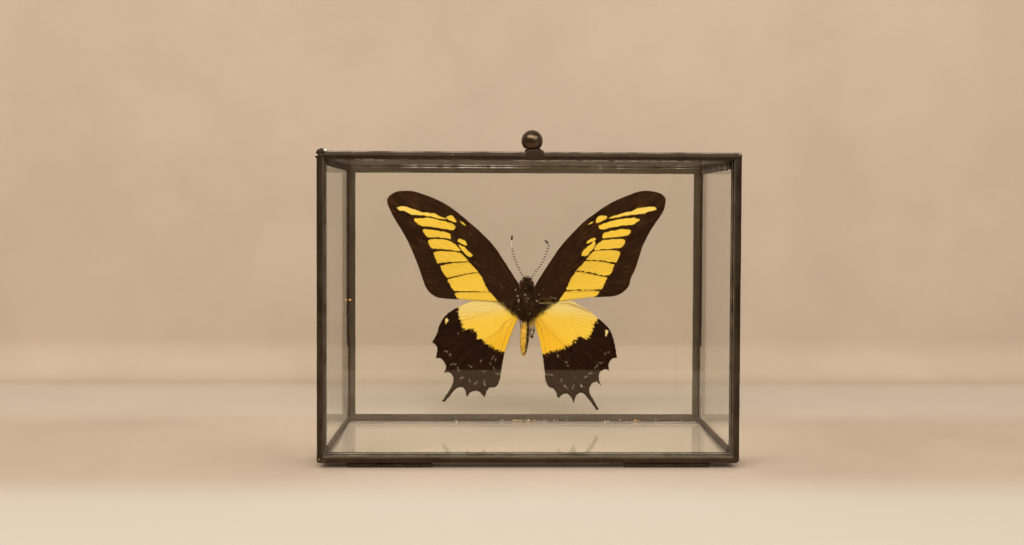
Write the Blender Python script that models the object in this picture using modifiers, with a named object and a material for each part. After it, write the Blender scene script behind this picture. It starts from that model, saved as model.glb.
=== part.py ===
"""A small glass display box with a hinged front door and a spread swallowtail butterfly inside.

The box is soldered together from thin blackened metal strips and 2 mm glass panes. It stands on
its hinges at the front and on the bottom edge of its back, so it leans back a little. The box
frame below has X to the right, Y from the door to the back and Z up, with its origin in the
middle of the door's bottom edge. Lengths are in metres, written as millimetres times MM.
"""
import math

import bmesh
import bpy
from mathutils import Vector

MM = 0.001

# Box
WIDTH = 155.0 * MM
HEIGHT = 114.0 * MM
DEPTH = 63.0 * MM
GLASS = 2.6 * MM
STRIP_GAP = 0.06 * MM  # between soldered pieces that touch
GLASS_INSET = 0.4 * MM  # from the outside of a strip to the pane it covers
GLASS_PLAY = 0.1 * MM  # around a pane in its channel, and between two panes

# Metal strips
DOOR_DEPTH = 4.0 * MM
DOOR_GAP = 0.3 * MM  # between the closed door and the case
CHANNEL_FACE = 2.8 * MM
CHANNEL_WALL = 0.9 * MM
CASE_FRONT = 1.0 * MM  # thickness of the case's front edge
CASE_LEG = 4.0 * MM
STRIP_METAL = 0.34 * MM
BACK_METAL = 0.54 * MM
EDGE_LEG = 3.0 * MM
BACK_LEG = 5.7 * MM
BACK_SIDE_LEG = 2.6 * MM
ROUNDING = 0.5 * MM
SEAM_WIDTH = 0.6 * MM
SEAM_HEIGHTS = {
    "bottom_left": 2.2 * MM,
    "bottom_right": 2.2 * MM,
    "top_left": 1.6 * MM,
    "top_right": 2.8 * MM,
}

# Hinges, one near each end of the front's bottom edge
HINGE_CENTRES = (-51.0 * MM, 51.2 * MM)
KNUCKLE_LENGTH = 10.2 * MM
KNUCKLE_GAP = 0.2 * MM
KNUCKLE_RADIUS = 0.95 * MM
PIN_RADIUS = 0.5 * MM
PIN_CLEARANCE = 0.06 * MM
PIN_LENGTH = 31.6 * MM
AXIS_Y = 2.6 * MM
AXIS_Z = -1.1 * MM
LEAF_THICKNESS = 0.35 * MM
LEAF_END_Y = 8.2 * MM
SOLDER_PAD_HALF = 0.75 * MM

# Knob, and the saddle of solder that holds it on the door's top rail
KNOB_X = 0.8 * MM
KNOB_RADIUS = 3.95 * MM
KNOB_CENTRE_Z = 4.0 * MM  # these heights start at the top of the rail
KNOB_FOOT_RADIUS = 2.85 * MM
KNOB_FOOT_Z = 1.3 * MM
KNOB_UNDERCUT = 12  # degrees of the ball's curve left out above its foot
SADDLE_OFFSET_X = 0.9 * MM
SADDLE_RADIUS = 3.35 * MM
SADDLE_WAIST_RADIUS = 2.95 * MM
SADDLE_WAIST_Z = 0.8 * MM
SADDLE_DEPTH_SHARE = 0.75
SADDLE_GAP = 0.05 * MM
SADDLE_FACE_TOP = 0.75 * MM
SADDLE_FACE_LOW = -3.3 * MM
SADDLE_FACE_THICKNESS = 0.5 * MM
SADDLE_FACE_BEVEL = 0.2 * MM

# Butterfly, in its own frame: X right, Y towards the back pane, Z up, origin in the wing plane
SPECIMEN_AT = (0.9 * MM, 56.0 * MM, 54.1 * MM)
WING_THICKNESS = 0.25 * MM
HINDWING_Y = 0.4 * MM
SPAN_STEPS = 3

# Wing outlines in millimetres, going round each wing; a third value marks a sharp corner
FOREWING_LEFT = [
    (-3.3, 7.3, 1), (-9.6, 17.1), (-13.6, 23.0), (-18.5, 28.3), (-27.7, 36.3), (-33.7, 40.7),
    (-39.3, 43.5), (-46.9, 46.1), (-50.9, 46.5), (-54.5, 46.1), (-57.7, 44.4), (-58.7, 42.0),
    (-57.9, 39.4), (-55.7, 35.0), (-52.5, 29.8), (-50.1, 25.4), (-47.9, 20.6), (-45.6, 15.0),
    (-43.7, 9.3), (-42.5, 6.2), (-40.4, 3.5), (-37.6, 1.9), (-33.6, 1.3), (-28.8, 1.1),
    (-13.4, 0.3), (-4.15, -0.8, 1), (-3.95, 1.0), (-3.3, 4.0),
]
FOREWING_RIGHT = [
    (3.1, 6.6, 1), (6.6, 12.4), (10.9, 19.0), (14.7, 24.4), (22.9, 33.1), (27.9, 37.0),
    (32.2, 40.1), (37.2, 42.9), (45.7, 46.3), (49.6, 46.9), (53.5, 46.5), (56.2, 45.5),
    (57.8, 43.7), (57.7, 41.0), (56.7, 37.9), (52.1, 30.9), (48.6, 24.0), (47.3, 20.0),
    (45.6, 14.6), (43.6, 10.2), (42.9, 7.5), (41.6, 5.5), (39.4, 3.7), (36.3, 2.6),
    (31.6, 2.3), (26.2, 2.1), (16.8, 0.9), (4.5, -0.6, 1), (4.35, 1.0), (3.7, 4.0),
]
HINDWING_LEFT = [
    (-3.3, -6.9, 1), (-3.2, -6.0), (-4.1, -3.4), (-4.4, -0.6, 1), (-9.0, 1.6), (-14.0, 2.4),
    (-19.0, 2.0), (-23.6, 0.4), (-29.0, -2.3), (-32.2, -4.1), (-35.1, -6.8), (-36.9, -10.4),
    (-38.1, -14.0), (-39.9, -16.9, 1), (-38.6, -17.8), (-37.7, -19.6), (-38.2, -23.8, 1),
    (-36.3, -23.8), (-34.5, -25.6), (-34.0, -27.8), (-35.0, -30.3, 1), (-33.0, -29.6),
    (-31.2, -31.3), (-31.0, -34.0), (-32.8, -37.6), (-35.7, -42.0, 1), (-34.5, -42.2, 1),
    (-30.6, -37.6), (-28.4, -35.9), (-26.2, -36.6), (-25.2, -40.3, 1), (-23.6, -38.2),
    (-21.6, -37.5), (-19.8, -38.2), (-17.6, -40.2, 1), (-16.7, -37.4), (-15.3, -36.0),
    (-13.5, -36.0), (-12.0, -34.6), (-11.1, -31.1), (-10.3, -26.6), (-9.3, -21.4),
    (-7.4, -15.6), (-5.0, -9.4),
]
HINDWING_RIGHT = [
    (2.6, -6.9, 1), (4.0, -11.7), (5.4, -16.8), (6.9, -24.2), (7.4, -28.6), (8.0, -33.2),
    (9.3, -35.8), (11.3, -36.6), (12.5, -38.4), (13.4, -41.0, 1), (14.3, -39.6), (16.2, -38.6),
    (18.3, -39.6), (19.9, -42.6, 1), (20.6, -40.0), (21.8, -38.6), (23.4, -38.3),
    (25.2, -39.9), (28.0, -43.6), (29.6, -45.9, 1), (30.4, -45.0, 1), (29.0, -42.7),
    (27.3, -39.7), (26.4, -37.2), (27.4, -34.6), (29.3, -33.6), (31.4, -35.3, 1),
    (30.4, -32.0), (31.0, -29.5), (33.2, -28.4), (34.8, -29.0, 1), (34.5, -26.4),
    (35.7, -24.1), (38.0, -23.3, 1), (37.5, -20.4), (36.7, -16.4), (35.8, -13.7),
    (34.2, -10.7), (31.5, -8.0), (28.8, -6.0), (26.1, -3.8), (22.7, -1.9), (18.6, 0.4),
    (13.5, 1.7), (9.0, 1.4), (4.6, -0.4, 1), (4.4, -3.4), (3.4, -5.6),
]

# Body parts in millimetres: centre, then radii
HEAD = ((-0.1, -0.2, 7.4), (2.3, 2.0, 2.5))
EYES = (((-1.75, -0.3, 7.6), (1.15, 1.2, 1.4)), ((1.55, -0.3, 7.6), (1.15, 1.2, 1.4)))
THORAX = ((0.2, 0.1, -0.8), (3.8, 3.1, 6.3))
ABDOMEN = ((-0.9, 0.5, -13.4), (1.85, 1.8, 9.2))
ABDOMEN_TURN = math.radians(3.5)
LEG_RADIUS = 0.23 * MM
LEGS = (
    ((1.3, 2.3, 2.6), (3.0, 2.8, 5.4), (1.7, 2.9, 8.6)),
    ((1.9, 2.3, -1.6), (5.2, 2.9, -3.4), (4.6, 3.0, -9.4)),
    ((1.5, 2.3, -4.0), (3.7, 2.8, -8.6), (3.1, 3.0, -15.6)),
)
ANTENNA_RADIUS = 0.2 * MM
CLUB_RADIUS = 0.42 * MM
ANTENNA_LEFT = [
    (-1.3, -0.4, 9.8), (-3.2, -0.9, 13.5), (-5.0, -1.2, 17.6), (-6.1, -1.3, 21.4),
    (-6.4, -1.3, 24.6), (-6.4, -1.3, 27.5),
]
ANTENNA_RIGHT = [
    (1.1, -0.4, 9.8), (3.5, -0.9, 12.4), (6.1, -1.2, 16.5), (7.9, -1.3, 19.9),
    (8.8, -1.3, 22.9), (8.6, -1.3, 25.0), (7.1, -1.3, 25.9),
]
GLUE_CENTRE = (0.2, 3.5, -0.8)
GLUE_RADIUS = 2.3 * MM
GLUE_THICKNESS = 0.46 * MM

# Colour, metallic, roughness
MATERIALS = {
    "blackened_metal": ((0.055, 0.045, 0.036), 0.85, 0.42),
    "glass": ((0.86, 0.90, 0.86), 0.0, 0.03),
    "wing": ((0.75, 0.46, 0.06), 0.0, 0.75),
    "body_fur": ((0.028, 0.018, 0.010), 0.0, 0.85),
    "glue": ((0.80, 0.78, 0.70), 0.0, 0.15),
}


def clear_scene():
    for old in list(bpy.data.objects):
        bpy.data.objects.remove(old, do_unlink=True)


def new_collection(name):
    collection = bpy.data.collections.new(name)
    bpy.context.scene.collection.children.link(collection)
    return collection


def material(name):
    if name in bpy.data.materials:
        return bpy.data.materials[name]
    colour, metallic, roughness = MATERIALS[name]
    made = bpy.data.materials.new(name)
    made.use_nodes = True
    shader = made.node_tree.nodes["Principled BSDF"]
    shader.inputs["Base Color"].default_value = (*colour, 1.0)
    shader.inputs["Metallic"].default_value = metallic
    shader.inputs["Roughness"].default_value = roughness
    if name in ("glass", "glue"):
        shader.inputs["Transmission Weight"].default_value = 1.0
    return made


def add_object(name, data, finish, parent, location=(0, 0, 0), rotation=(0, 0, 0)):
    made = bpy.data.objects.new(name, data)
    PARTS.objects.link(made)
    made.data.materials.clear()
    made.data.materials.append(material(finish))
    made.parent = parent
    made.location = location
    made.rotation_euler = rotation
    return made


def to_mesh(name, curve):
    """A welded mesh of a curve, which then has no use."""
    holder = bpy.data.objects.new(name, curve)
    GUIDES.objects.link(holder)
    graph = bpy.context.evaluated_depsgraph_get()
    mesh = bpy.data.meshes.new_from_object(holder.evaluated_get(graph))
    bpy.data.objects.remove(holder, do_unlink=True)
    work = bmesh.new()
    work.from_mesh(mesh)
    bmesh.ops.remove_doubles(work, verts=work.verts, dist=0.001 * MM)
    bmesh.ops.recalc_face_normals(work, faces=work.faces)
    work.to_mesh(mesh)
    work.free()
    mesh.name = name
    return mesh


def flat_outline(name, loops, thickness):
    """A flat plate in the curve's own XY plane, from one outline and any holes in it."""
    curve = bpy.data.curves.new(name, "CURVE")
    curve.dimensions = "2D"
    curve.fill_mode = "BOTH"
    curve.extrude = thickness / 2
    for loop in loops:
        spline = curve.splines.new("POLY")
        spline.points.add(len(loop) - 1)
        for point, (x, y) in zip(spline.points, loop):
            point.co = (x, y, 0, 1)
        spline.use_cyclic_u = True
    return to_mesh(name, curve)


def arc(centre, radius, start, end, steps):
    """Points on an arc, with its angles in degrees."""
    points = []
    for step in range(steps + 1):
        angle = math.radians(start + (end - start) * step / steps)
        points.append((centre[0] + radius * math.cos(angle), centre[1] + radius * math.sin(angle)))
    return points


def smooth_mesh(mesh, degrees=40):
    mesh.shade_smooth()
    mesh.set_sharp_from_angle(angle=math.radians(degrees))


def strip_mesh(name, section, length, mitred):
    """A strip along X. The section's first value is the distance inwards from the strip's outer
    edge, which becomes Z, and its second is the depth, which becomes Y."""
    mesh = flat_outline(name, [section], length)
    for vertex in mesh.vertices:
        inwards, depth, along = vertex.co
        end = math.copysign(1.0, along)
        if mitred:
            along -= end * (inwards + STRIP_GAP / 2)
        vertex.co = (along, depth, inwards)
    mesh.flip_normals()
    smooth_mesh(mesh, 30)
    return mesh


def door_section():
    """A channel around the edge of the door's pane, open inwards."""
    r = ROUNDING
    front = arc((r, r), r, 180, 270, 3)
    back = arc((r, DOOR_DEPTH - r), r, 90, 180, 3)
    slot = (DOOR_DEPTH - GLASS) / 2 - GLASS_PLAY
    return front + [
        (CHANNEL_FACE, 0.0),
        (CHANNEL_FACE, slot),
        (CHANNEL_WALL, slot),
        (CHANNEL_WALL, DOOR_DEPTH - slot),
        (CHANNEL_FACE, DOOR_DEPTH - slot),
        (CHANNEL_FACE, DOOR_DEPTH),
    ] + back


def case_front_section():
    """An angle over the front edge of one of the case's side panes and along its outside."""
    start = DOOR_DEPTH + DOOR_GAP
    end = start + CASE_LEG
    r = ROUNDING
    front = arc((r, start + r), r, 180, 270, 3)
    outside = GLASS_INSET - STRIP_GAP
    front_end = start + CASE_FRONT
    return front + [
        (CHANNEL_FACE, start),
        (CHANNEL_FACE, front_end),
        (outside, front_end),
        (outside, end),
        (0.0, end),
    ]


def back_section():
    """An angle around one back edge: a leg on the back pane and a leg on the side."""
    r = ROUNDING
    corner = arc((r, DEPTH - r), r, 90, 180, 3)
    return [
        (0.0, DEPTH - BACK_SIDE_LEG),
        (STRIP_METAL, DEPTH - BACK_SIDE_LEG),
        (STRIP_METAL, DEPTH - BACK_METAL),
        (BACK_LEG, DEPTH - BACK_METAL),
        (BACK_LEG, DEPTH),
    ] + corner


def edge_section():
    """An angle around an edge that runs from front to back."""
    r = ROUNDING
    return [
        (EDGE_LEG, 0.0),
        (EDGE_LEG, STRIP_METAL),
        (STRIP_METAL, STRIP_METAL),
        (STRIP_METAL, EDGE_LEG),
        (0.0, EDGE_LEG),
    ] + arc((r, r), r, 180, 270, 3)


def add_strip_frame(names, section, parent):
    """Four mitred strips around the box's outline: bottom, top, left and right."""
    quarter = math.pi / 2
    places = (
        (WIDTH, (0, 0, 0), 0.0),
        (WIDTH, (0, 0, HEIGHT), 2 * quarter),
        (HEIGHT, (-WIDTH / 2, 0, HEIGHT / 2), quarter),
        (HEIGHT, (WIDTH / 2, 0, HEIGHT / 2), -quarter),
    )
    for name, (length, location, turn) in zip(names, places):
        mesh = strip_mesh(name, section, length, mitred=True)
        add_object(name, mesh, "blackened_metal", parent, location, (0, turn, 0))


def seam_section(height):
    """A quarter of an ellipse in the corner between two panes."""
    inner = GLASS_INSET + GLASS + STRIP_GAP
    curve = arc((0, 0), 1.0, 0, 90, 4)
    return [(inner, inner)] + [(inner + SEAM_WIDTH * u, inner + height * v) for u, v in curve]


def depth_mesh(name, section, across, up, low, high):
    """A section along Y. Its values are distances from the box's edge, along X and Z."""
    mesh = flat_outline(name, [[(across * u, up * v) for u, v in section]], high - low)
    middle = (low + high) / 2
    for vertex in mesh.vertices:
        x, z, along = vertex.co
        vertex.co = (x, middle + along, z)
    mesh.flip_normals()
    smooth_mesh(mesh, 30)
    return mesh


def add_depth_pieces(parent):
    """The four angles along the box's depth and the solder seam inside each of them."""
    case_front = DOOR_DEPTH + DOOR_GAP
    edge_start = case_front + CASE_LEG + STRIP_GAP
    edge_end = DEPTH - BACK_SIDE_LEG - STRIP_GAP
    seam_start = case_front + CASE_FRONT + STRIP_GAP
    seam_end = DEPTH - BACK_METAL - GLASS - 3 * STRIP_GAP
    for corner, seam_height in SEAM_HEIGHTS.items():
        side = -1 if corner.endswith("left") else 1
        top = 1 if corner.startswith("top") else 0
        pieces = (
            (f"edge_{corner}", edge_section(), edge_start, edge_end),
            (f"solder_seam_{corner}", seam_section(seam_height), seam_start, seam_end),
        )
        for name, section, start, end in pieces:
            mesh = depth_mesh(name, section, -side, 1 - 2 * top, start, end)
            place = (side * WIDTH / 2, 0, top * HEIGHT)
            add_object(name, mesh, "blackened_metal", parent, place)


def add_pane(name, low, high, parent):
    """A glass pane between two corners of the box frame."""
    work = bmesh.new()
    bmesh.ops.create_cube(work, size=1.0)
    size = Vector(high) - Vector(low)
    bmesh.ops.scale(work, verts=work.verts, vec=size)
    mesh = bpy.data.meshes.new(name)
    work.to_mesh(mesh)
    work.free()
    centre = (Vector(high) + Vector(low)) / 2
    add_object(name, mesh, "glass", parent, centre)


def add_case_glass(parent):
    outer_x = WIDTH / 2 - GLASS_INSET
    inner_x = outer_x - GLASS - GLASS_PLAY
    low_z = GLASS_INSET
    high_z = HEIGHT - GLASS_INSET
    front = DOOR_DEPTH + DOOR_GAP + CASE_FRONT + GLASS_PLAY
    back_face = DEPTH - BACK_METAL - STRIP_GAP
    back = back_face - GLASS - GLASS_PLAY
    add_pane("glass_left", (-outer_x, front, low_z), (-outer_x + GLASS, back, high_z), parent)
    add_pane("glass_right", (outer_x - GLASS, front, low_z), (outer_x, back, high_z), parent)
    add_pane("glass_bottom", (-inner_x, front, low_z), (inner_x, back, low_z + GLASS), parent)
    add_pane("glass_top", (-inner_x, front, high_z - GLASS), (inner_x, back, high_z), parent)
    back_low = (-outer_x, back_face - GLASS, low_z)
    add_pane("glass_back", back_low, (outer_x, back_face, high_z), parent)


def add_door_glass(parent):
    edge = CHANNEL_WALL + GLASS_PLAY
    front = (DOOR_DEPTH - GLASS) / 2
    low = (-WIDTH / 2 + edge, front, edge)
    high = (WIDTH / 2 - edge, front + GLASS, HEIGHT - edge)
    add_pane("door_glass", low, high, parent)


def along_x(name, loops, length):
    """A flat outline in the box frame's YZ plane, extruded along X."""
    mesh = flat_outline(name, loops, length)
    for vertex in mesh.vertices:
        y, z, along = vertex.co
        vertex.co = (along, y, z)
    smooth_mesh(mesh, 35)
    return mesh


def add_hinges(case, door):
    """Two hinges of three knuckles. The middle one has a leaf under the case's bottom edge, and
    the outer two are soldered under the door's bottom rail."""
    bore_radius = PIN_RADIUS + PIN_CLEARANCE
    bore = arc((0, 0), bore_radius, 360, 22.5, 15)
    rail_underside = -STRIP_GAP - AXIS_Z
    leaf_below = KNUCKLE_RADIUS - LEAF_THICKNESS
    leaf_start = math.degrees(math.asin(leaf_below / KNUCKLE_RADIUS))
    leaf_end = LEAF_END_Y - AXIS_Y
    seat = DOOR_DEPTH + DOOR_GAP - AXIS_Y
    case_loop = arc((0, 0), KNUCKLE_RADIUS, 90, 360 + leaf_start, 14) + [
        (leaf_end, leaf_below),
        (leaf_end, rail_underside),
        (seat, rail_underside),
        (seat, KNUCKLE_RADIUS),
    ]
    pad_start = math.degrees(math.acos(SOLDER_PAD_HALF / KNUCKLE_RADIUS))
    door_loop = arc((0, 0), KNUCKLE_RADIUS, 180 - pad_start, 360 + pad_start, 14) + [
        (SOLDER_PAD_HALF, rail_underside),
        (-SOLDER_PAD_HALF, rail_underside),
    ]
    pitch = KNUCKLE_LENGTH + KNUCKLE_GAP
    for side, centre in zip(("left", "right"), HINGE_CENTRES):
        middle = along_x(f"hinge_leaf_{side}", [case_loop, bore], KNUCKLE_LENGTH)
        at = (centre, AXIS_Y, AXIS_Z)
        add_object(f"hinge_leaf_{side}", middle, "blackened_metal", case, at)
        for end, shift in (("outer", -pitch), ("inner", pitch)):
            if side == "right":
                shift = -shift
            name = f"hinge_knuckle_{side}_{end}"
            knuckle = along_x(name, [door_loop, bore], KNUCKLE_LENGTH)
            add_object(name, knuckle, "blackened_metal", door, (centre + shift, 0, 0))
        work = bmesh.new()
        bmesh.ops.create_cone(
            work, cap_ends=True, segments=12, radius1=PIN_RADIUS, radius2=PIN_RADIUS,
            depth=PIN_LENGTH,
        )
        pin = bpy.data.meshes.new(f"hinge_pin_{side}")
        work.to_mesh(pin)
        work.free()
        smooth_mesh(pin)
        add_object(f"hinge_pin_{side}", pin, "blackened_metal", case, at, (0, math.pi / 2, 0))


def turned(name, profile, steps, finish, parent, location):
    """A turned piece from a profile of (radius, height) points that runs from top to bottom."""
    mesh = bpy.data.meshes.new(name)
    edges = [(i, i + 1) for i in range(len(profile) - 1)]
    mesh.from_pydata([(radius, 0, height) for radius, height in profile], edges, [])
    piece = add_object(name, mesh, finish, parent, location)
    screw = piece.modifiers.new("Turn", "SCREW")
    screw.steps = steps
    screw.render_steps = steps
    screw.use_merge_vertices = True
    screw.merge_threshold = 0.00002
    screw.use_smooth_shade = True
    return piece


def as_cutter(piece):
    """Takes a piece out of the parts, for use in a Boolean."""
    PARTS.objects.unlink(piece)
    GUIDES.objects.link(piece)
    piece.hide_render = True
    piece.display_type = "WIRE"
    return piece


def join_with(piece, others):
    for other in others:
        union = piece.modifiers.new(f"Join {other.name}", "BOOLEAN")
        union.operation = "UNION"
        union.solver = "EXACT"
        union.object = as_cutter(other)


def add_knob(parent):
    """A ball on a flared foot of solder that wraps over the door's top rail."""
    rail_top = HEIGHT - AXIS_Z
    centre_y = DOOR_DEPTH / 2 - AXIS_Y
    rise = KNOB_FOOT_Z - KNOB_CENTRE_Z
    foot_angle = math.degrees(math.asin(rise / KNOB_RADIUS))
    ball = arc((0, 0), KNOB_RADIUS, 90, foot_angle + KNOB_UNDERCUT, 12)
    ball = [(max(radius, 0.0), height) for radius, height in ball]
    ball += [(KNOB_FOOT_RADIUS, rise), (0.0, rise)]
    at = (KNOB_X, centre_y, rail_top + KNOB_CENTRE_Z)
    turned("knob", ball, 24, "blackened_metal", parent, at)

    flare = [
        (0.0, KNOB_FOOT_Z - SADDLE_GAP),
        (KNOB_FOOT_RADIUS, KNOB_FOOT_Z - SADDLE_GAP),
        (SADDLE_WAIST_RADIUS, SADDLE_WAIST_Z),
        (SADDLE_RADIUS, SADDLE_GAP),
        (0.0, SADDLE_GAP),
    ]
    saddle_at = (KNOB_X + SADDLE_OFFSET_X / 2, centre_y, rail_top)
    saddle = turned("knob_saddle", flare, 24, "blackened_metal", parent, saddle_at)
    saddle.scale = (1.0, SADDLE_DEPTH_SHARE, 1.0)

    work = bmesh.new()
    bmesh.ops.create_cube(work, size=1.0)
    size = (2 * SADDLE_RADIUS, SADDLE_FACE_THICKNESS, SADDLE_FACE_TOP - SADDLE_FACE_LOW)
    bmesh.ops.scale(work, verts=work.verts, vec=size)
    bmesh.ops.bevel(
        work, geom=list(work.edges), offset=SADDLE_FACE_BEVEL, segments=2, affect="EDGES",
        profile=0.5,
    )
    face = bpy.data.meshes.new("knob_saddle_face")
    work.to_mesh(face)
    work.free()
    face_y = -SADDLE_FACE_THICKNESS / 2 - STRIP_GAP - AXIS_Y
    face_z = rail_top + (SADDLE_FACE_TOP + SADDLE_FACE_LOW) / 2
    face_at = (KNOB_X + SADDLE_OFFSET_X, face_y, face_z)
    front = add_object("knob_saddle_face", face, "blackened_metal", parent, face_at)
    join_with(saddle, [front])


def smooth_outline(points, steps):
    """A closed outline through the points, smooth except at those marked as sharp corners."""
    scaled = [Vector((p[0], p[1])) * MM for p in points]
    sharp = [len(p) > 2 for p in points]
    count = len(points)
    outline = []
    for i in range(count):
        a, b = scaled[i], scaled[(i + 1) % count]
        before = a if sharp[i] else scaled[i - 1]
        after = b if sharp[(i + 1) % count] else scaled[(i + 2) % count]
        leave = (b - before) / 2
        arrive = (after - a) / 2
        for step in range(steps):
            t = step / steps
            h1 = 2 * t**3 - 3 * t**2 + 1
            h2 = t**3 - 2 * t**2 + t
            h3 = t**3 - t**2
            h4 = 3 * t**2 - 2 * t**3
            point = a * h1 + leave * h2 + arrive * h3 + b * h4
            outline.append((point.x, point.y))
    return outline


def add_wing(name, outline, steps, depth, parent):
    mesh = flat_outline(name, [smooth_outline(outline, steps)], WING_THICKNESS)
    location = (0, depth, 0)
    return add_object(name, mesh, "wing", parent, location, (math.pi / 2, 0, 0))


def ellipsoid(name, centre, radii, parent, segments, rings, turn=0.0):
    work = bmesh.new()
    bmesh.ops.create_uvsphere(work, u_segments=segments, v_segments=rings, radius=1.0)
    bmesh.ops.scale(work, verts=work.verts, vec=Vector(radii) * MM)
    mesh = bpy.data.meshes.new(name)
    work.to_mesh(mesh)
    work.free()
    mesh.shade_smooth()
    place = Vector(centre) * MM
    return add_object(name, mesh, "body_fur", parent, place, (0, turn, 0))


def tube(name, points, radii, resolution):
    """A round tube through points in millimetres, with a radius at each of them."""
    curve = bpy.data.curves.new(name, "CURVE")
    curve.dimensions = "3D"
    curve.bevel_depth = 1.0
    curve.bevel_resolution = resolution
    curve.use_fill_caps = True
    spline = curve.splines.new("POLY")
    spline.points.add(len(points) - 1)
    for point, place, radius in zip(spline.points, points, radii):
        point.co = (place[0] * MM, place[1] * MM, place[2] * MM, 1)
        point.radius = radius
    mesh = to_mesh(name, curve)
    mesh.shade_smooth()
    return mesh


def rounded_path(points, steps):
    """Points along a smooth open path through the given ones."""
    nodes = [Vector(p) for p in points]
    nodes = [2 * nodes[0] - nodes[1]] + nodes + [2 * nodes[-1] - nodes[-2]]
    path = []
    for i in range(1, len(nodes) - 2):
        p0, p1, p2, p3 = nodes[i - 1:i + 3]
        for step in range(steps):
            t = step / steps
            path.append(0.5 * (
                2 * p1 + (p2 - p0) * t + (2 * p0 - 5 * p1 + 4 * p2 - p3) * t**2
                + (3 * p1 - p0 - 3 * p2 + p3) * t**3
            ))
    path.append(nodes[-2])
    return path


def add_body(parent):
    """Head, eyes, thorax, abdomen and folded legs, grown as one."""
    body = ellipsoid("body", *THORAX, parent, 18, 12)
    pieces = [
        ellipsoid("abdomen_form", *ABDOMEN, parent, 14, 12, ABDOMEN_TURN),
        ellipsoid("head_form", *HEAD, parent, 14, 9),
    ]
    for side, eye in zip(("left", "right"), EYES):
        pieces.append(ellipsoid(f"eye_form_{side}", *eye, parent, 10, 7))
    for side, sign in (("left", -1), ("right", 1)):
        for number, leg in enumerate(LEGS):
            points = rounded_path([(sign * x, y, z) for x, y, z in leg], 3)
            radii = [LEG_RADIUS * (1 - 0.4 * i / len(points)) for i in range(len(points))]
            name = f"leg_form_{side}_{number}"
            pieces.append(add_object(name, tube(name, points, radii, 1), "body_fur", parent))
    join_with(body, pieces)
    return body


def add_antenna(name, points, parent):
    """A thin shaft that swells into a small club at its end."""
    path = rounded_path(points, 2)
    radii = []
    for i in range(len(path)):
        along = i / (len(path) - 1)
        swell = max(0.0, (along - 0.8) / 0.2)
        radii.append(ANTENNA_RADIUS + (CLUB_RADIUS - ANTENNA_RADIUS) * min(1.0, 1.6 * swell))
    return add_object(name, tube(name, path, radii, 1), "body_fur", parent)


def add_butterfly(parent):
    add_body(parent)
    add_wing("forewing_left", FOREWING_LEFT, SPAN_STEPS, 0.0, parent)
    add_wing("forewing_right", FOREWING_RIGHT, SPAN_STEPS, 0.0, parent)
    add_wing("hindwing_left", HINDWING_LEFT, SPAN_STEPS, HINDWING_Y, parent)
    add_wing("hindwing_right", HINDWING_RIGHT, SPAN_STEPS, HINDWING_Y, parent)
    add_antenna("antenna_left", ANTENNA_LEFT, parent)
    add_antenna("antenna_right", ANTENNA_RIGHT, parent)
    half = GLUE_THICKNESS / 2
    dome = [
        (0.0, half), (0.55 * GLUE_RADIUS, half), (0.85 * GLUE_RADIUS, 0.3 * half),
        (GLUE_RADIUS, -half), (0.0, -half),
    ]
    place = Vector(GLUE_CENTRE) * MM
    glue = turned("glue_dab", dome, 20, "glue", parent, place)
    glue.rotation_euler = (math.pi / 2, 0, 0)


def lean_angle():
    """The angle at which the box rests on its knuckles and on its back's bottom edge."""
    reach = DEPTH - AXIS_Y
    across = math.hypot(reach, AXIS_Z)
    return math.asin(KNUCKLE_RADIUS / across) + math.atan2(-AXIS_Z, reach)


def add_empty(name, parent, location=(0, 0, 0), rotation=(0, 0, 0)):
    empty = bpy.data.objects.new(name, None)
    empty.empty_display_size = 0.02
    PARTS.objects.link(empty)
    empty.parent = parent
    empty.location = location
    empty.rotation_euler = rotation
    return empty


def build():
    lean = lean_angle()
    back_y = DEPTH * math.cos(lean) + HEIGHT * math.sin(lean)
    case = add_empty("case", None, (0, -back_y / 2, DEPTH * math.sin(lean)), (-lean, 0, 0))
    door = add_empty("door_axis", case, (0, AXIS_Y, AXIS_Z))
    at_axis = add_empty("door_frame", door, (0, -AXIS_Y, -AXIS_Z))
    butterfly = add_empty("butterfly", case, SPECIMEN_AT)

    door_names = ("door_rail_bottom", "door_rail_top", "door_stile_left", "door_stile_right")
    add_strip_frame(door_names, door_section(), at_axis)
    add_door_glass(at_axis)
    add_knob(door)

    case_names = ("case_rail_bottom", "case_rail_top", "case_post_left", "case_post_right")
    add_strip_frame(case_names, case_front_section(), case)
    back_names = ("back_rail_bottom", "back_rail_top", "back_post_left", "back_post_right")
    add_strip_frame(back_names, back_section(), case)
    add_depth_pieces(case)
    add_case_glass(case)
    add_hinges(case, door)
    add_butterfly(butterfly)


clear_scene()
PARTS = new_collection("butterfly_in_glass_box")
GUIDES = new_collection("cutters")
build()
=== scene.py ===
"""Looks of the butterfly in its glass box: finishes, worn metal, scaled wings and a furry body.

Box frame: X to the right, Y from the door into the box, Z up, from the middle of the door's
bottom edge. Specimen frame: X to the right, Y towards the back, Z up, from the wing plane.
Shapes are worked out in millimetres in one of these frames and then placed in the world.
"""
import math

import bmesh
import bpy
import numpy as np
from mathutils import Matrix, Vector, noise
from mathutils.geometry import delaunay_2d_cdt


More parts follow.
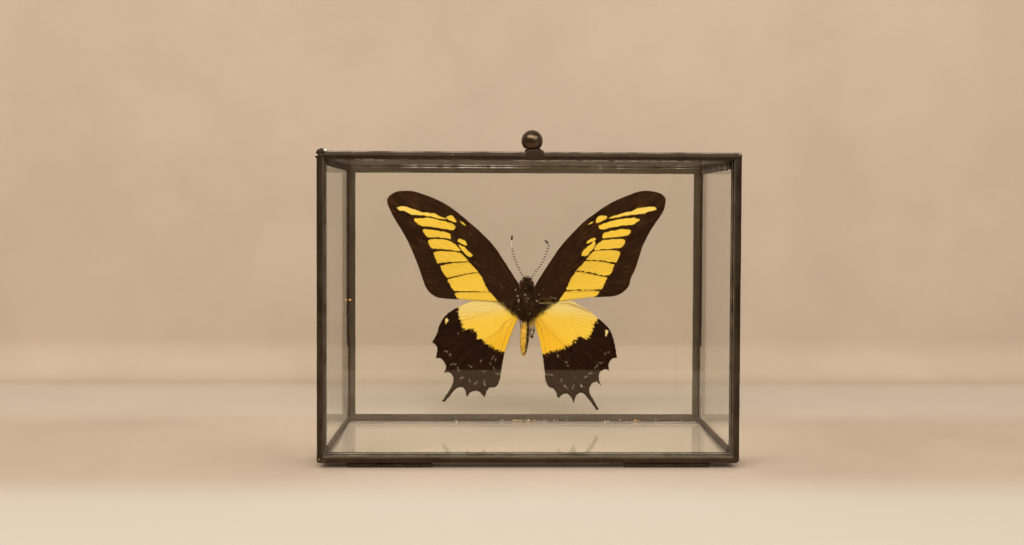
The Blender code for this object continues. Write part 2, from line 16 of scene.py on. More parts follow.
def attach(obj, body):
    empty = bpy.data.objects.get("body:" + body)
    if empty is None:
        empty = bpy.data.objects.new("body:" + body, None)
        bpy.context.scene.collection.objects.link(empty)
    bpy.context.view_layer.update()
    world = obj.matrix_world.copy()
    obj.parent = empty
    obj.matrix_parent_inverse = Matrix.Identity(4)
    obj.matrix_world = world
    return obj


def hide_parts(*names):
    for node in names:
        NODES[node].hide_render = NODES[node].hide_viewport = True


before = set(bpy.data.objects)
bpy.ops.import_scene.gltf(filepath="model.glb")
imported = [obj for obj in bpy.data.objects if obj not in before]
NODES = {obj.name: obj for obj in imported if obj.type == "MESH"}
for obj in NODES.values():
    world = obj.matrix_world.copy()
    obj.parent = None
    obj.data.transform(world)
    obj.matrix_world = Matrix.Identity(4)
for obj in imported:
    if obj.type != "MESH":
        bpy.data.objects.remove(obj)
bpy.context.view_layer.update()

# Frames
MM = 0.001
LEAN = math.radians(1.94441)
BOX_ORIGIN = Vector((0.0, -33.4159, 2.1376)) * MM
SPECIMEN_ORIGIN = Vector((0.9, 56.0, 54.1)) * MM
BOX = Matrix.Translation(BOX_ORIGIN) @ Matrix.Rotation(-LEAN, 4, "X") @ Matrix.Scale(MM, 4)
SPECIMEN = (
    Matrix.Translation(BOX_ORIGIN) @ Matrix.Rotation(-LEAN, 4, "X")
    @ Matrix.Translation(SPECIMEN_ORIGIN) @ Matrix.Scale(MM, 4)
)

# Camera and stage, in metres and degrees
CAMERA_AT = Vector((-0.0123, -0.39655, 0.10752))
CAMERA_TURN = (-1.461, -0.23, -0.917)
LENS = 35.42
CAMERA_SHIFT_Y = -0.0366
FLOOR_FRONT = -0.319
WALL_Y = 0.142
COVE = 0.02
STAGE_HALF = 0.9
WALL_TOP = 0.62
# Floor zones painted paler, as painted light: close behind the box, where its shadow falls, and in
# front of it
BEHIND_BOX_PAINTED_LIGHT = ((0.03, 0.06), (0.105, 0.125))
FRONT_PAINTED_LIGHT_ZONE = (-0.075, -0.035)
EDGE_ZONE = (-0.18, -0.13)
ROOM_STRENGTH = 0.90
LIT_POINT = (0.0, 0.0, 0.06)

# Lights: name, place, size, power and colour
LIGHTS = (
    ("key", (-0.28, -0.55, 0.72), (1.0, 0.4), 6.6, (1.0, 0.93, 0.84)),
    ("fill", (0.42, -0.62, 0.62), (0.8, 0.4), 3.7, (1.0, 0.95, 0.88)),
)

# Colours
ROOM = (0.68, 0.61, 0.52, 1.0)
ROOM_IN_REFLECTIONS = (0.014, 0.007, 0.002, 1.0)
# Plaster colours; the front one is painted light on the floor in front of the box and close behind it
PLASTER = {
    "dark": (0.455, 0.37, 0.287), "light": (0.495, 0.40, 0.315), "front": (0.555, 0.505, 0.445),
    "edge": (0.46, 0.36, 0.225),
}
# Solder colours: the dull one is partly painted shade on the box's top side, and the bare one partly a
# painted highlight along edges, lips and beads.
SOLDER = {
    "black": (0.034, 0.018, 0.009), "brown": (0.056, 0.037, 0.021), "drawn": (0.080, 0.057, 0.036),
    "dull": (0.027, 0.011, 0.004), "outer": (0.050, 0.018, 0.009), "inner": (0.125, 0.085, 0.047),
    "worn": (0.165, 0.125, 0.085), "brass": (0.34, 0.25, 0.115), "bare": (0.60, 0.52, 0.40),
    "speck": (0.46, 0.36, 0.22),
}
KNOB_METAL = {
    "brown": (0.086, 0.044, 0.021), "grey": (0.130, 0.094, 0.059), "pits": (0.14, 0.10, 0.065),
}
# Tin: its dark traces, and the near-white of the painted glints
TIN_TRACES = (0.20, 0.155, 0.11)
TIN_GLINT_COLOUR = (0.93, 0.86, 0.76)
FLUX_BEAD = ((0.40, 0.15, 0.03), (0.66, 0.33, 0.08))
FLUX_GRAINS = ((0.50, 0.27, 0.06), (0.78, 0.60, 0.34))
SCALES = {
    "cream": (0.67, 0.53, 0.215), "straw": (0.69, 0.51, 0.125), "lemon": (0.70, 0.455, 0.048),
    "golden": (0.67, 0.375, 0.019), "streaks": (0.68, 0.38, 0.03), "between": (0.46, 0.21, 0.012),
    "hind_black": (0.0085, 0.0018, 0.0002), "hind_brown": (0.0145, 0.0038, 0.0005),
    "fore_black": (0.016, 0.0050, 0.0007), "fore_brown": (0.028, 0.0095, 0.0015),
    "hairlines": (0.045, 0.019, 0.006), "scale_tips": (0.055, 0.028, 0.011),
    "sheen": (0.085, 0.050, 0.024), "dust": (0.17, 0.12, 0.075), "strokes": (0.56, 0.48, 0.34),
}
HAIR_TINTS = (
    (0.0, (0.010, 0.0042, 0.0016)), (0.45, (0.045, 0.022, 0.009)), (0.55, (0.14, 0.062, 0.018)),
    (0.70, (0.42, 0.24, 0.035)), (0.85, (0.68, 0.40, 0.05)), (0.94, (0.66, 0.50, 0.28)),
    (1.0, (0.90, 0.86, 0.76)),
)

# Box, in millimetres
WIDTH = 155.0
HEIGHT = 114.0
DEPTH = 63.0
GLASS = 2.6
GLASS_INSET = 0.4
DOOR_DEPTH = 4.0
DOOR_GAP = 0.3
CHANNEL_FACE = 2.8
CHANNEL_WALL = 0.9
SLOT = 0.6
CASE_FRONT = 1.0
CASE_LEG = 4.0
BACK_LEG = 5.7
BACK_SIDE_LEG = 2.6
BACK_METAL = 0.54
EDGE_LEG = 3.0
STRIP_METAL = 0.34
STRIP_GAP = 0.06
ROUNDING = 0.5
FRONT_ROUNDING = 0.9
CORNER_RADIUS = 1.2
CROWN = 0.28
FILLET = (0.5, 0.75)
SEAM_WIDTH = 0.6

# Seams along the box's depth: height, swell and pitch of the beads, lumps, contrast and looks.
# The looks are set along each bead's crest, partly as wear and brass and partly as a painted
# highlight on the top of the seam; contrast is how much the crests differ from the duller metal
# between them.
SEAMS = {
    "bottom_left": (2.2, 0.10, 2.6, 0.14, 0.3, {"brass": 1.0, "worn": 0.6}),
    "bottom_right": (2.2, 0.07, 3.2, 0.12, 0.4, {"brass": 0.6, "worn": 0.5}),
    "top_left": (2.1, 0.06, 3.0, 0.30, 0.8, {"worn": 0.7}),
    "top_right": (2.8, 0.10, 5.6, 0.10, 0.9, {"worn": 0.5, "bare": 0.5}),
}

# Looks that the metal's finish mixes in, and the number of the box's top side in a sweep
# Of the looks, dull is partly painted shade on the box's top side and bare partly a painted highlight
# along edges, lips and beads.
LOOKS = ("worn", "outer", "inner", "bare", "brass", "dull")
TOP_SIDE = 2

# Beads of tin under the top pane, coloured near white as painted glints, bright lines that show even in
# shade: x from, x to, y, z and radius
TOP_GLINT_BEADS = (
    (-64.0, -52.0, 5.0, 111.05, 0.30), (-6.0, 60.0, 5.0, 111.05, 0.30),
    (-54.0, 2.0, 59.55, 110.62, 0.26), (29.0, 33.5, 59.55, 110.62, 0.26),
    (37.5, 43.5, 59.55, 110.62, 0.26), (62.0, 69.5, 59.55, 110.62, 0.22),
)

# Where small grains of tin, coloured near white as painted glints, lie along the foot of the back pane
TIN_GLINT_PLACES = (
    -29.6, -28.9, -9.7, -8.9, 6.3, 7.8, 9.2, 13.0, 13.9, 18.4, 34.2, 35.1, 41.0, 55.6, 56.3, 66.8,
)

# Body, in millimetres in the specimen frame: centre, then radii
HEAD = ((-0.1, -0.2, 7.4), (2.3, 2.0, 2.5))
EYES = (((-2.1, -0.3, 8.2), (1.25, 1.3, 1.3)), ((1.6, -0.3, 7.9), (1.25, 1.3, 1.3)))
THORAX = ((0.2, 0.1, -0.8), (3.8, 3.1, 6.3))
ABDOMEN = ((-0.9, 0.5, -13.4), (1.85, 1.8, 9.2))
ABDOMEN_TURN = math.radians(3.5)
BODY_VOXEL = 0.14
BELLY_START = (6.0, 7.6)
STRIPE_START = (0.35, 0.90)
RING_PITCH = 2.15
LEGS = {
    "left": (
        ((-1.3, 2.3, 2.6), (-3.0, 2.8, 5.4), (-1.7, 2.9, 8.0)),
        ((-1.9, 2.3, -1.6), (-5.2, 2.9, -3.4), (-4.6, 3.0, -7.4)),
        ((-1.5, 2.3, -4.0), (-2.9, 2.8, -8.2), (-1.8, 3.0, -14.0)),
    ),
    "right": (
        ((1.3, 2.3, 2.6), (3.0, 2.8, 5.4), (1.7, 2.9, 8.0)),
        ((1.9, 2.3, -1.6), (5.2, 2.9, -3.4), (4.4, 3.0, -7.4)),
        ((1.5, 0.6, -6.6), (3.1, 0.4, -11.2), (1.9, 0.6, -15.2)),
    ),
}
ANTENNAE = {
    "antenna_left": (
        (-1.3, -0.4, 10.0), (-3.6, -0.9, 14.3), (-5.4, -1.2, 18.5), (-6.3, -1.3, 22.0),
        (-6.6, -1.3, 25.4), (-6.4, -1.3, 28.1),
    ),
    "antenna_right": (
        (1.2, -0.4, 9.6), (4.6, -0.9, 14.3), (6.3, -1.2, 16.8), (7.5, -1.3, 19.7),
        (8.8, -1.3, 23.6), (8.1, -1.3, 25.3), (7.1, -1.3, 25.9),
    ),
}

KNOT_PITCH = 1.2
SHAFT_RADIUS = 0.065
KNOT_RADIUS = 0.35
CLUB_START = 0.87
ANTENNA_PALE = {"antenna_left": (0.70, 0.86), "antenna_right": (0.97, 0.98)}
LEG_RADIUS = 0.26
LEG_TAPER = 0.12
LEG_JOINT = 0.06
SPINE_RADII = (0.05, 0.035, 0.008)

# Yellow marks of the forewings, in millimetres in the specimen frame
SPOTS_LEFT = (
    ((-54.7, 39.4), (-53.5, 39.7), (-52.1, 40.1), (-50.3, 39.8), (-48.5, 39.1), (-46.5, 38.3),
     (-44.1, 37.7), (-40.9, 37.2), (-38.9, 37.0), (-36.9, 36.0), (-33.9, 34.8), (-35.7, 34.6),
     (-37.7, 35.0), (-40.1, 35.6), (-42.9, 36.2), (-45.7, 36.4), (-47.9, 36.5), (-49.7, 37.2),
     (-51.5, 38.1), (-53.5, 38.1)),
    ((-47.5, 34.8), (-46.1, 35.1), (-44.1, 35.0), (-41.7, 35.3), (-39.3, 34.9), (-36.9, 34.2),
     (-34.5, 33.9), (-32.1, 33.1), (-30.1, 31.9), (-30.1, 31.1), (-30.8, 30.2), (-32.1, 30.1),
     (-33.7, 30.4), (-36.9, 31.0), (-39.3, 31.4), (-41.7, 31.5), (-44.1, 31.8), (-45.7, 32.5),
     (-46.7, 33.6)),
    ((-43.8, 30.3), (-42.7, 30.5), (-40.1, 30.2), (-36.9, 29.8), (-34.1, 29.3), (-32.7, 28.6),
     (-32.0, 27.2), (-32.3, 26.4), (-34.1, 26.7), (-36.9, 27.0), (-39.3, 27.1), (-41.7, 27.1),
     (-42.9, 28.2)),
    ((-41.6, 25.9), (-40.5, 26.3), (-37.7, 26.4), (-34.5, 26.2), (-32.1, 25.4), (-30.1, 24.2),
     (-28.9, 22.8), (-28.1, 21.4), (-30.1, 21.5), (-32.9, 21.9), (-36.1, 22.2), (-38.1, 22.3),
     (-39.9, 22.4), (-40.9, 23.4), (-41.4, 24.7)),
    ((-39.2, 20.5), (-38.3, 21.2), (-36.1, 21.4), (-33.7, 21.2), (-30.5, 21.0), (-27.8, 20.6),
     (-26.8, 19.7), (-25.4, 18.0), (-24.7, 17.2), (-27.2, 17.0), (-30.4, 16.9), (-33.6, 16.7),
     (-36.1, 16.3), (-37.7, 16.4), (-38.4, 18.0)),
    ((-36.4, 15.0), (-34.0, 15.8), (-31.2, 16.3), (-27.6, 16.6), (-24.6, 16.7), (-23.4, 15.8),
     (-22.2, 14.6), (-21.2, 13.4), (-20.4, 12.4), (-23.2, 12.4), (-26.4, 11.8), (-29.6, 11.0),
     (-32.0, 10.4), (-33.8, 10.2), (-35.0, 11.8), (-35.8, 13.4)),
    ((-33.4, 9.4), (-31.2, 10.1), (-28.8, 10.7), (-25.6, 11.5), (-22.4, 12.1), (-20.2, 12.2),
     (-19.2, 10.8), (-18.4, 9.0), (-17.4, 6.6), (-16.0, 4.4), (-19.2, 4.5), (-22.4, 4.6),
     (-26.4, 4.5), (-30.4, 4.6), (-31.5, 5.8), (-32.8, 8.0)),
    ((-30.6, 3.7), (-27.2, 4.1), (-21.6, 4.2), (-15.6, 4.2), (-14.3, 2.8), (-12.9, 1.0),
     (-11.0, -1.4), (-9.5, -3.4), (-21.6, -2.3), (-27.2, 0.5), (-29.4, 1.8)),
    ((-28.9, 24.3), (-27.7, 23.7), (-26.2, 22.9), (-25.0, 21.7), (-23.8, 20.5), (-22.9, 19.7),
     (-23.3, 18.8), (-24.6, 19.0), (-25.9, 20.2), (-27.2, 21.4), (-28.5, 23.0)),
    ((-29.1, 26.2), (-28.1, 26.6), (-26.5, 25.9), (-25.5, 24.9), (-25.2, 23.9), (-26.1, 23.7),
     (-27.2, 24.3), (-28.1, 24.9), (-29.1, 25.0)),
    ((-33.8, 35.9), (-31.7, 36.3), (-30.5, 35.3), (-29.6, 33.9), (-29.4, 33.2), (-30.9, 33.5),
     (-32.5, 34.2), (-33.7, 35.1)),
    ((-28.2, 34.0), (-26.8, 33.2), (-25.3, 31.8), (-26.2, 32.1), (-27.5, 32.9)),
)
SPOTS_RIGHT = (
    ((34.1, 35.5), (35.7, 36.1), (38.0, 36.7), (40.7, 37.6), (43.4, 38.2), (46.2, 39.4),
     (48.9, 40.1), (51.2, 40.3), (53.2, 40.2), (54.4, 39.0), (52.8, 38.5), (50.8, 38.3),
     (49.3, 37.4), (47.0, 37.1), (43.8, 36.7), (40.7, 36.2), (37.2, 35.5), (35.3, 35.2)),
    ((29.9, 32.3), (32.2, 33.1), (34.9, 34.1), (38.0, 34.8), (41.5, 35.3), (45.0, 35.5),
     (46.2, 35.3), (47.2, 34.9), (46.2, 34.0), (45.0, 32.9), (42.3, 32.5), (39.2, 32.2),
     (36.1, 31.6), (33.8, 31.1), (31.8, 30.6), (30.5, 30.6), (29.8, 31.4)),
    ((31.4, 27.9), (32.0, 29.1), (34.2, 29.8), (36.9, 30.3), (40.0, 30.8), (42.3, 30.7),
     (43.3, 30.2), (43.0, 29.1), (42.3, 28.2), (40.4, 27.8), (36.9, 27.3), (34.2, 27.1),
     (31.8, 26.9)),
    ((28.0, 22.2), (28.4, 23.6), (29.9, 25.0), (31.9, 26.1), (34.6, 26.5), (37.7, 26.7),
     (40.4, 26.6), (41.2, 26.0), (40.8, 24.6), (40.0, 23.4), (38.7, 22.7), (36.2, 22.6),
     (33.4, 22.3), (30.7, 22.2), (29.0, 21.9)),
    ((24.4, 18.0), (26.1, 19.8), (27.6, 21.3), (29.9, 21.8), (33.4, 22.0), (36.2, 22.0),
     (38.1, 21.6), (39.0, 21.0), (38.7, 19.5), (37.9, 17.6), (37.2, 16.8), (35.4, 17.0),
     (33.1, 17.3), (30.3, 17.6), (27.6, 17.9), (26.1, 17.9)),
    ((20.6, 13.3), (22.2, 15.2), (24.1, 17.2), (26.1, 17.5), (29.2, 17.3), (32.3, 17.0),
     (34.6, 16.4), (36.5, 16.1), (36.0, 14.1), (35.1, 12.1), (34.5, 11.4), (32.3, 11.4),
     (30.0, 11.7), (26.9, 12.5), (23.8, 13.1), (21.8, 13.3)),
    ((16.3, 5.1), (17.6, 8.2), (18.7, 10.5), (20.3, 12.9), (23.0, 12.7), (26.1, 12.1),
     (29.2, 11.3), (31.9, 10.8), (33.6, 10.6), (32.9, 9.0), (32.0, 6.7), (31.2, 5.7),
     (28.5, 5.4), (24.6, 5.3), (20.7, 5.3)),
    ((12.9, 0.1), (14.5, 2.3), (16.0, 4.5), (18.7, 4.8), (23.0, 4.9), (27.7, 5.0),
     (30.3, 4.7), (29.9, 3.4), (28.5, 2.4), (24.6, 0.8), (19.9, -0.4), (16.0, -0.8)),
    ((22.7, 19.6), (22.8, 20.7), (24.1, 22.2), (26.0, 24.0), (28.0, 25.5), (28.8, 25.4),
     (28.4, 24.2), (27.6, 22.4), (26.4, 21.1), (25.3, 20.0), (24.1, 19.3)),
    ((24.8, 24.9), (25.5, 25.9), (26.8, 26.8), (28.0, 27.1), (28.9, 26.7), (28.0, 25.9),
     (26.6, 25.3), (25.4, 24.6)),
    ((28.6, 33.4), (29.0, 34.9), (29.8, 36.0), (31.4, 36.4), (33.4, 36.3), (33.6, 35.5),
     (32.2, 34.6), (30.6, 33.7), (29.4, 33.2)),
    ((25.1, 32.6), (26.3, 33.4), (27.8, 34.0), (27.4, 33.5), (26.4, 32.9)),
)

# Yellow area of each hindwing: its lower edge, then points well outside the wing
FIELD_LEFT = (
    (-29.1, -2.8), (-28.7, -4.8), (-28.3, -6.7), (-27.7, -8.8), (-26.9, -10.4), (-25.8, -11.9),
    (-24.3, -11.6), (-22.5, -11.9), (-21.4, -13.1), (-20.9, -15.0), (-19.0, -15.9),
    (-17.2, -17.5), (-15.3, -18.7), (-13.8, -19.6), (-12.3, -20.2), (-10.7, -21.0),
    (-9.2, -21.3), (4.0, -23.0), (4.0, 8.0), (-29.3, 8.0),
)
FIELD_RIGHT = (
    (29.8, -6.8), (29.2, -8.0), (28.3, -9.3), (27.8, -10.7), (27.3, -12.0), (26.7, -13.7),
    (26.0, -14.7), (24.5, -15.1), (23.2, -14.9), (21.8, -14.7), (20.8, -15.4), (20.1, -16.7),
    (18.8, -17.8), (17.5, -18.1), (16.1, -18.9), (14.8, -19.6), (13.1, -20.1), (11.8, -20.6),
    (10.4, -21.0), (9.1, -21.3), (7.7, -21.8), (6.4, -22.0), (-4.0, -24.0), (-4.0, 8.0),
    (31.0, 8.0),
)
MARGIN_SPOT_LEFT = (
    (-34.5, -7.3), (-33.7, -6.8), (-33.0, -7.4), (-33.2, -8.2), (-33.9, -9.1), (-34.2, -8.8),
)
MARGIN_SPOT_RIGHT = (
    (33.0, -11.6), (33.5, -11.6), (34.3, -12.5), (33.9, -13.4), (33.4, -14.3), (33.0, -14.5),
)
MARGIN_SPOT_CRISP = 3.0

# Veins and other dark lines
FOREWING_VEINS = (
    ((-34.1, 34.2), (-41.7, 35.6), (-47.7, 36.0), (-56.5, 37.8)),
    ((-29.7, 29.8), (-36.1, 30.7), (-43.7, 31.2), (-53.7, 32.2)),
    ((-30.1, 25.0), (-33.7, 26.5), (-41.7, 26.8), (-49.7, 27.0)),
    ((-27.7, 21.2), (-33.7, 21.6), (-39.3, 22.0), (-48.1, 22.2)),
    ((-24.6, 17.0), (-31.3, 16.6), (-36.9, 15.8), (-45.7, 14.9)),
    ((-20.6, 12.5), (-26.4, 11.6), (-33.7, 10.0), (-44.1, 9.3)),
    ((-15.6, 4.3), (-23.2, 4.2), (-30.4, 4.1), (-41.7, 4.9)),
    ((-29.7, 25.0), (-27.7, 22.2), (-24.9, 18.2), (-21.2, 13.8), (-12.0, 4.5), (-3.5, 2.0)),
    ((-4.0, 5.0), (-13.0, 18.5), (-25.0, 29.0), (-30.5, 31.5), (-34.1, 34.2)),
    ((-4.0, 6.0), (-13.4, 21.2), (-26.5, 33.4), (-38.0, 40.5), (-50.0, 43.5)),
)
HINDWING_VEINS_LEFT = (
    ((-6.0, -6.6), (-9.6, -8.8), (-11.8, -12.4), (-14.0, -14.0), (-16.9, -15.6), (-18.6, -24.0),
     (-21.0, -31.0), (-25.0, -39.0)),
    ((-4.4, -6.6), (-6.7, -8.8), (-8.6, -13.0), (-10.2, -18.2), (-10.8, -20.8), (-13.0, -33.0)),
)
HINDWING_VEINS_RIGHT = (
    ((5.6, -6.9), (6.9, -8.8), (9.8, -12.4), (12.1, -14.6), (13.7, -16.2), (15.3, -17.5),
     (18.0, -26.0), (19.6, -41.0)),
    ((3.7, -7.9), (5.6, -10.1), (6.9, -14.9), (7.9, -20.8), (10.5, -31.0), (13.2, -40.0)),
)
FAINT_LEFT = (
    ((-4.7, -7.9), (-6.6, -14.3), (-8.9, -20.1)),
    ((-12.8, -3.4), (-21.5, -6.3), (-27.6, -8.2), (-36.0, -14.0)),
    ((-16.3, 0.8), (-12.5, -0.8)),
    ((-21.8, -12.4), (-21.8, -14.7), (-27.0, -28.0)),
    ((-8.6, -7.9), (-10.8, -13.0), (-11.8, -15.6)),
)
FAINT_RIGHT = (
    ((6.9, -9.8), (8.9, -14.3), (9.5, -19.5)),
    ((15.3, -9.1), (16.9, -11.0)),
    ((18.8, -7.2), (19.1, -8.8)),
    ((20.5, -12.0), (22.0, -15.0), (27.0, -28.0)),
    ((26.0, -8.0), (35.5, -15.5)),
)

# Pale strokes among the black scales: x, z, half length, angle in degrees, strength
LUNULES_LEFT = (
    (-28.9, -13.3, 0.25, 0, 0.9), (-34.3, -20.8, 0.9, 0, 0.6), (-30.8, -26.2, 1.2, 5, 0.6),
    (-28.8, -28.2, 0.7, 90, 0.6), (-23.8, -27.1, 0.8, -20, 0.5), (-19.5, -24.7, 0.35, 90, 0.9),
    (-14.3, -23.4, 0.35, 60, 0.7), (-13.2, -24.2, 0.35, 60, 0.7), (-15.3, -26.0, 0.35, 90, 0.5),
    (-13.7, -27.9, 0.5, 100, 0.6), (-12.2, -30.2, 0.9, -10, 0.9), (-18.2, -29.4, 1.0, 10, 0.4),
    (-24.0, -33.4, 0.5, -60, 0.6), (-21.4, -34.2, 0.9, 40, 0.9), (-17.8, -34.2, 1.0, 90, 0.9),
    (-27.3, -32.1, 1.0, 35, 0.5), (-32.2, -22.3, 0.7, 60, 0.4),
)
LUNULES_RIGHT = (
    (12.9, -22.7, 0.5, 100, 1.0), (16.7, -25.4, 0.3, 0, 0.7), (17.1, -26.7, 0.3, 0, 0.7),
    (34.2, -20.9, 0.6, 30, 0.6), (33.1, -21.8, 0.4, 90, 0.5), (31.2, -25.6, 0.9, 0, 0.6),
    (29.3, -27.2, 0.8, 60, 0.7), (27.0, -30.1, 0.9, 15, 0.8), (25.1, -31.6, 0.6, 40, 0.8),
    (23.0, -35.3, 0.8, -50, 0.9), (19.5, -35.9, 0.8, 70, 0.7), (14.6, -33.0, 0.5, 90, 0.9),
    (9.3, -30.6, 1.4, -5, 0.7), (16.5, -35.8, 1.3, -45, 0.6), (20.5, -31.8, 0.6, 90, 0.3),
)
SPECKS_LEFT = ((-10.4, 6.1, 0.05, 0, 0.8), (-11.6, 7.8, 0.05, 0, 0.7), (-21.5, 17.0, 0.05, 0, 0.5))
SPECKS_RIGHT = ((10.5, 2.0, 0.6, -10, 0.35), (11.7, 1.6, 0.2, -20, 0.5), (6.8, 5.4, 0.05, 0, 0.5))

# The dark hairy patch over the roots of the wings: its lower edge, then points above it
ROOT_PATCH = (
    (-14.1, 2.5), (-11.5, 0.1), (-8.3, -2.8), (-5.9, -5.0), (-3.0, -6.5), (0.9, -7.3), (4.7, -5.3),
    (7.4, -3.5), (10.0, -1.3), (13.4, 0.8), (14.6, 3.0), (14.6, 9.0), (-14.1, 9.0),
)
ROOT_OVERLAP = 0.8
FRINGE_RIGHT = ((13.6, -0.5), (17.2, -0.1), (19.7, -1.1), (23.0, -2.4), (26.6, -4.2))

# Pale flecks on the thorax and the line at the right wing's root
FLECKS = (
    (-4.9, 5.3), (-0.6, 5.8), (-4.0, 2.7), (0.2, 1.8), (-0.2, 0.6), (4.9, 3.5), (-3.3, -2.7),
    (1.0, -4.4), (-0.9, 3.5),
)
PLATES = (((-3.6, -1.5, 0.8), (0.34, 0.3, 0.85)), ((4.0, -1.5, 0.6), (0.5, 0.35, 0.5)))

# Wing sheets, in millimetres
WING_SPACING = 0.34
WING_SHEET = 0.12
HINDWING_Y = 0.4
RIB_HEIGHT = 0.10
RIB_WIDTH = 0.30
PLEAT_HEIGHT = 0.035
PLEATS = 95.0
FRAY_SIZE = 0.55
FRAY_FOREWING = 0.16
FRAY_HINDWING = 0.36
STROKE_WIDTH = 0.19

# Hairs
HAIR_COUNTS = {
    "thorax": 4200, "head": 1000, "abdomen": 2600, "tuft": 240, "roots": 2800, "shoulders": 1500,
    "dots": 90,
}
FRINGE_HAIRS = 30
FLECK_HAIRS = 6
RIDGE_HAIRS = 60


# Materials

class Finish:
    """A Principled material, with short ways to add nodes that work in millimetres."""

    def __init__(self, name):
        self.material = bpy.data.materials.new(name)
        self.material.use_nodes = True
        self.tree = self.material.node_tree
        self.shader = self.tree.nodes["Principled BSDF"]
        self.output = self.tree.nodes["Material Output"]
        self.place = self.node("ShaderNodeTexCoord").outputs["Object"]

    def node(self, kind, values=None, **settings):
        made = self.tree.nodes.new(kind)
        for key, value in settings.items():
            setattr(made, key, value)
        for socket, value in (values or {}).items():
            self.feed(made.inputs[socket], value)
        return made

    def feed(self, socket, value):
        if isinstance(value, bpy.types.NodeSocket):
            self.tree.links.new(value, socket)
        elif isinstance(value, tuple) and len(value) == 3 and socket.type == "RGBA":
            socket.default_value = (*value, 1.0)
        else:
            socket.default_value = value

    def set(self, **values):
        for key, value in values.items():
            self.feed(self.shader.inputs[key.replace("_", " ")], value)

    def surface(self, factor, first, second):
        """Makes the surface a mix of two shaders instead of the Principled one alone."""
        both = self.node("ShaderNodeMixShader", {0: factor, 1: first, 2: second})
        self.tree.links.new(both.outputs[0], self.output.inputs["Surface"])

    def attribute(self, name):
        return self.node("ShaderNodeAttribute", attribute_name=name).outputs["Fac"]

    def stretched(self, x, y, z):
        node = self.node("ShaderNodeMapping", {"Vector": self.place, "Scale": (x, y, z)})
        return node.outputs["Vector"]

    def noise(self, size, detail=3.0, rough=0.55, vector=None):
        values = {
            "Vector": vector or self.place, "Scale": 1.0 / (size * MM), "Detail": detail,
            "Roughness": rough,
        }
        return self.node("ShaderNodeTexNoise", values).outputs["Fac"]

    def plain_noise(self, vector, scale, detail=3.0):
        values = {"Vector": vector, "Scale": scale, "Detail": detail}
        return self.node("ShaderNodeTexNoise", values).outputs["Fac"]

    def math(self, operation, a, b):
        return self.node("ShaderNodeMath", {0: a, 1: b}, operation=operation).outputs[0]

    def plus(self, a, b):
        return self.math("ADD", a, b)

    def times(self, a, b):
        return self.math("MULTIPLY", a, b)

    def swing(self, value, amount):
        """A value between 0 and 1 as a swing to both sides of 0."""
        return self.times(self.math("SUBTRACT", value, 0.5), amount)

    def scaled(self, name, factor):
        return self.times(self.attribute(name), factor)

    def vector(self, x, y, z):
        return self.node("ShaderNodeCombineXYZ", {0: x, 1: y, 2: z}).outputs[0]

    def lanes(self, first, along, second=None, across=0.0):
        """A place made from one or two values of the mesh, for streaks that follow the shape."""
        beside = self.scaled(second, across) if second else 0.0
        return self.vector(self.scaled(first, along), beside, 0.0)

    def step(self, value, low, high, start=0.0, end=1.0):
        values = {"Value": value, 1: low, 2: high, 3: start, 4: end}
        node = self.node("ShaderNodeMapRange", values, interpolation_type="SMOOTHSTEP")
        return node.outputs["Result"]

    def mix(self, factor, a, b, blend="MIX"):
        node = self.node("ShaderNodeMix", {0: factor, 6: a, 7: b}, data_type="RGBA", blend_type=blend)
        return node.outputs[2]

    def bump(self, height, distance, strength=1.0):
        values = {"Height": height, "Distance": distance * MM, "Strength": strength}
        return self.node("ShaderNodeBump", values).outputs["Normal"]


def metal_finish():
    """Solder under a dark patina: satin and drawn out lengthwise, redder along the outer edge,
    paler on the inner one, with bare tin where it was wiped and a little brass. The bare tin is
    partly a painted highlight along edges and lips, and the dull look is partly painted shade
    on the box's top side."""
    f = Finish("blackened_metal_satin")
    patches = f.noise(9.0, 3.0, 0.55)
    fine = f.noise(0.5, 3.0, 0.6)
    drawn = f.plain_noise(f.lanes("run", 0.06, "across", 1.6), 1.0, 4.0)
    base = f.mix(f.step(patches, 0.35, 0.65), SOLDER["black"], SOLDER["brown"])
    base = f.mix(f.step(drawn, 0.44, 0.70, 0.0, 0.5), base, SOLDER["drawn"])
    # Dull look: a darker, rougher patina, and on the box's top side painted shade.
    base = f.mix(f.scaled("dull", 0.85), base, SOLDER["dull"])
    base = f.mix(f.scaled("outer", 0.75), base, SOLDER["outer"])
    base = f.mix(f.scaled("inner", 0.5), base, SOLDER["inner"])
    worn = f.times(f.attribute("worn"), f.step(fine, 0.38, 0.62, 0.15, 0.8))
    base = f.mix(worn, base, SOLDER["worn"])
    brass = f.times(f.attribute("brass"), f.step(fine, 0.36, 0.60))
    base = f.mix(brass, base, SOLDER["brass"])
    streaks = f.plain_noise(f.lanes("run", 0.11), 1.0, 3.0)
    # Bare look: wiped tin in places, and a painted highlight along top edges, lips and beads.
    bare = f.times(f.attribute("bare"), f.step(streaks, 0.36, 0.60, 0.25, 1.0))
    base = f.mix(bare, base, SOLDER["bare"])
    specks = f.step(f.noise(0.45, 2.0, 0.4), 0.735, 0.765)
    base = f.mix(specks, base, SOLDER["speck"])
    rough = f.step(f.plus(f.times(fine, 0.4), f.times(drawn, 0.6)), 0.3, 0.7, 0.34, 0.48)
    rough = f.plus(rough, f.scaled("dull", 0.22))
    f.set(Base_Color=base, Metallic=0.6, Roughness=rough, Normal=f.bump(fine, 0.03, 0.5))
    return f.material


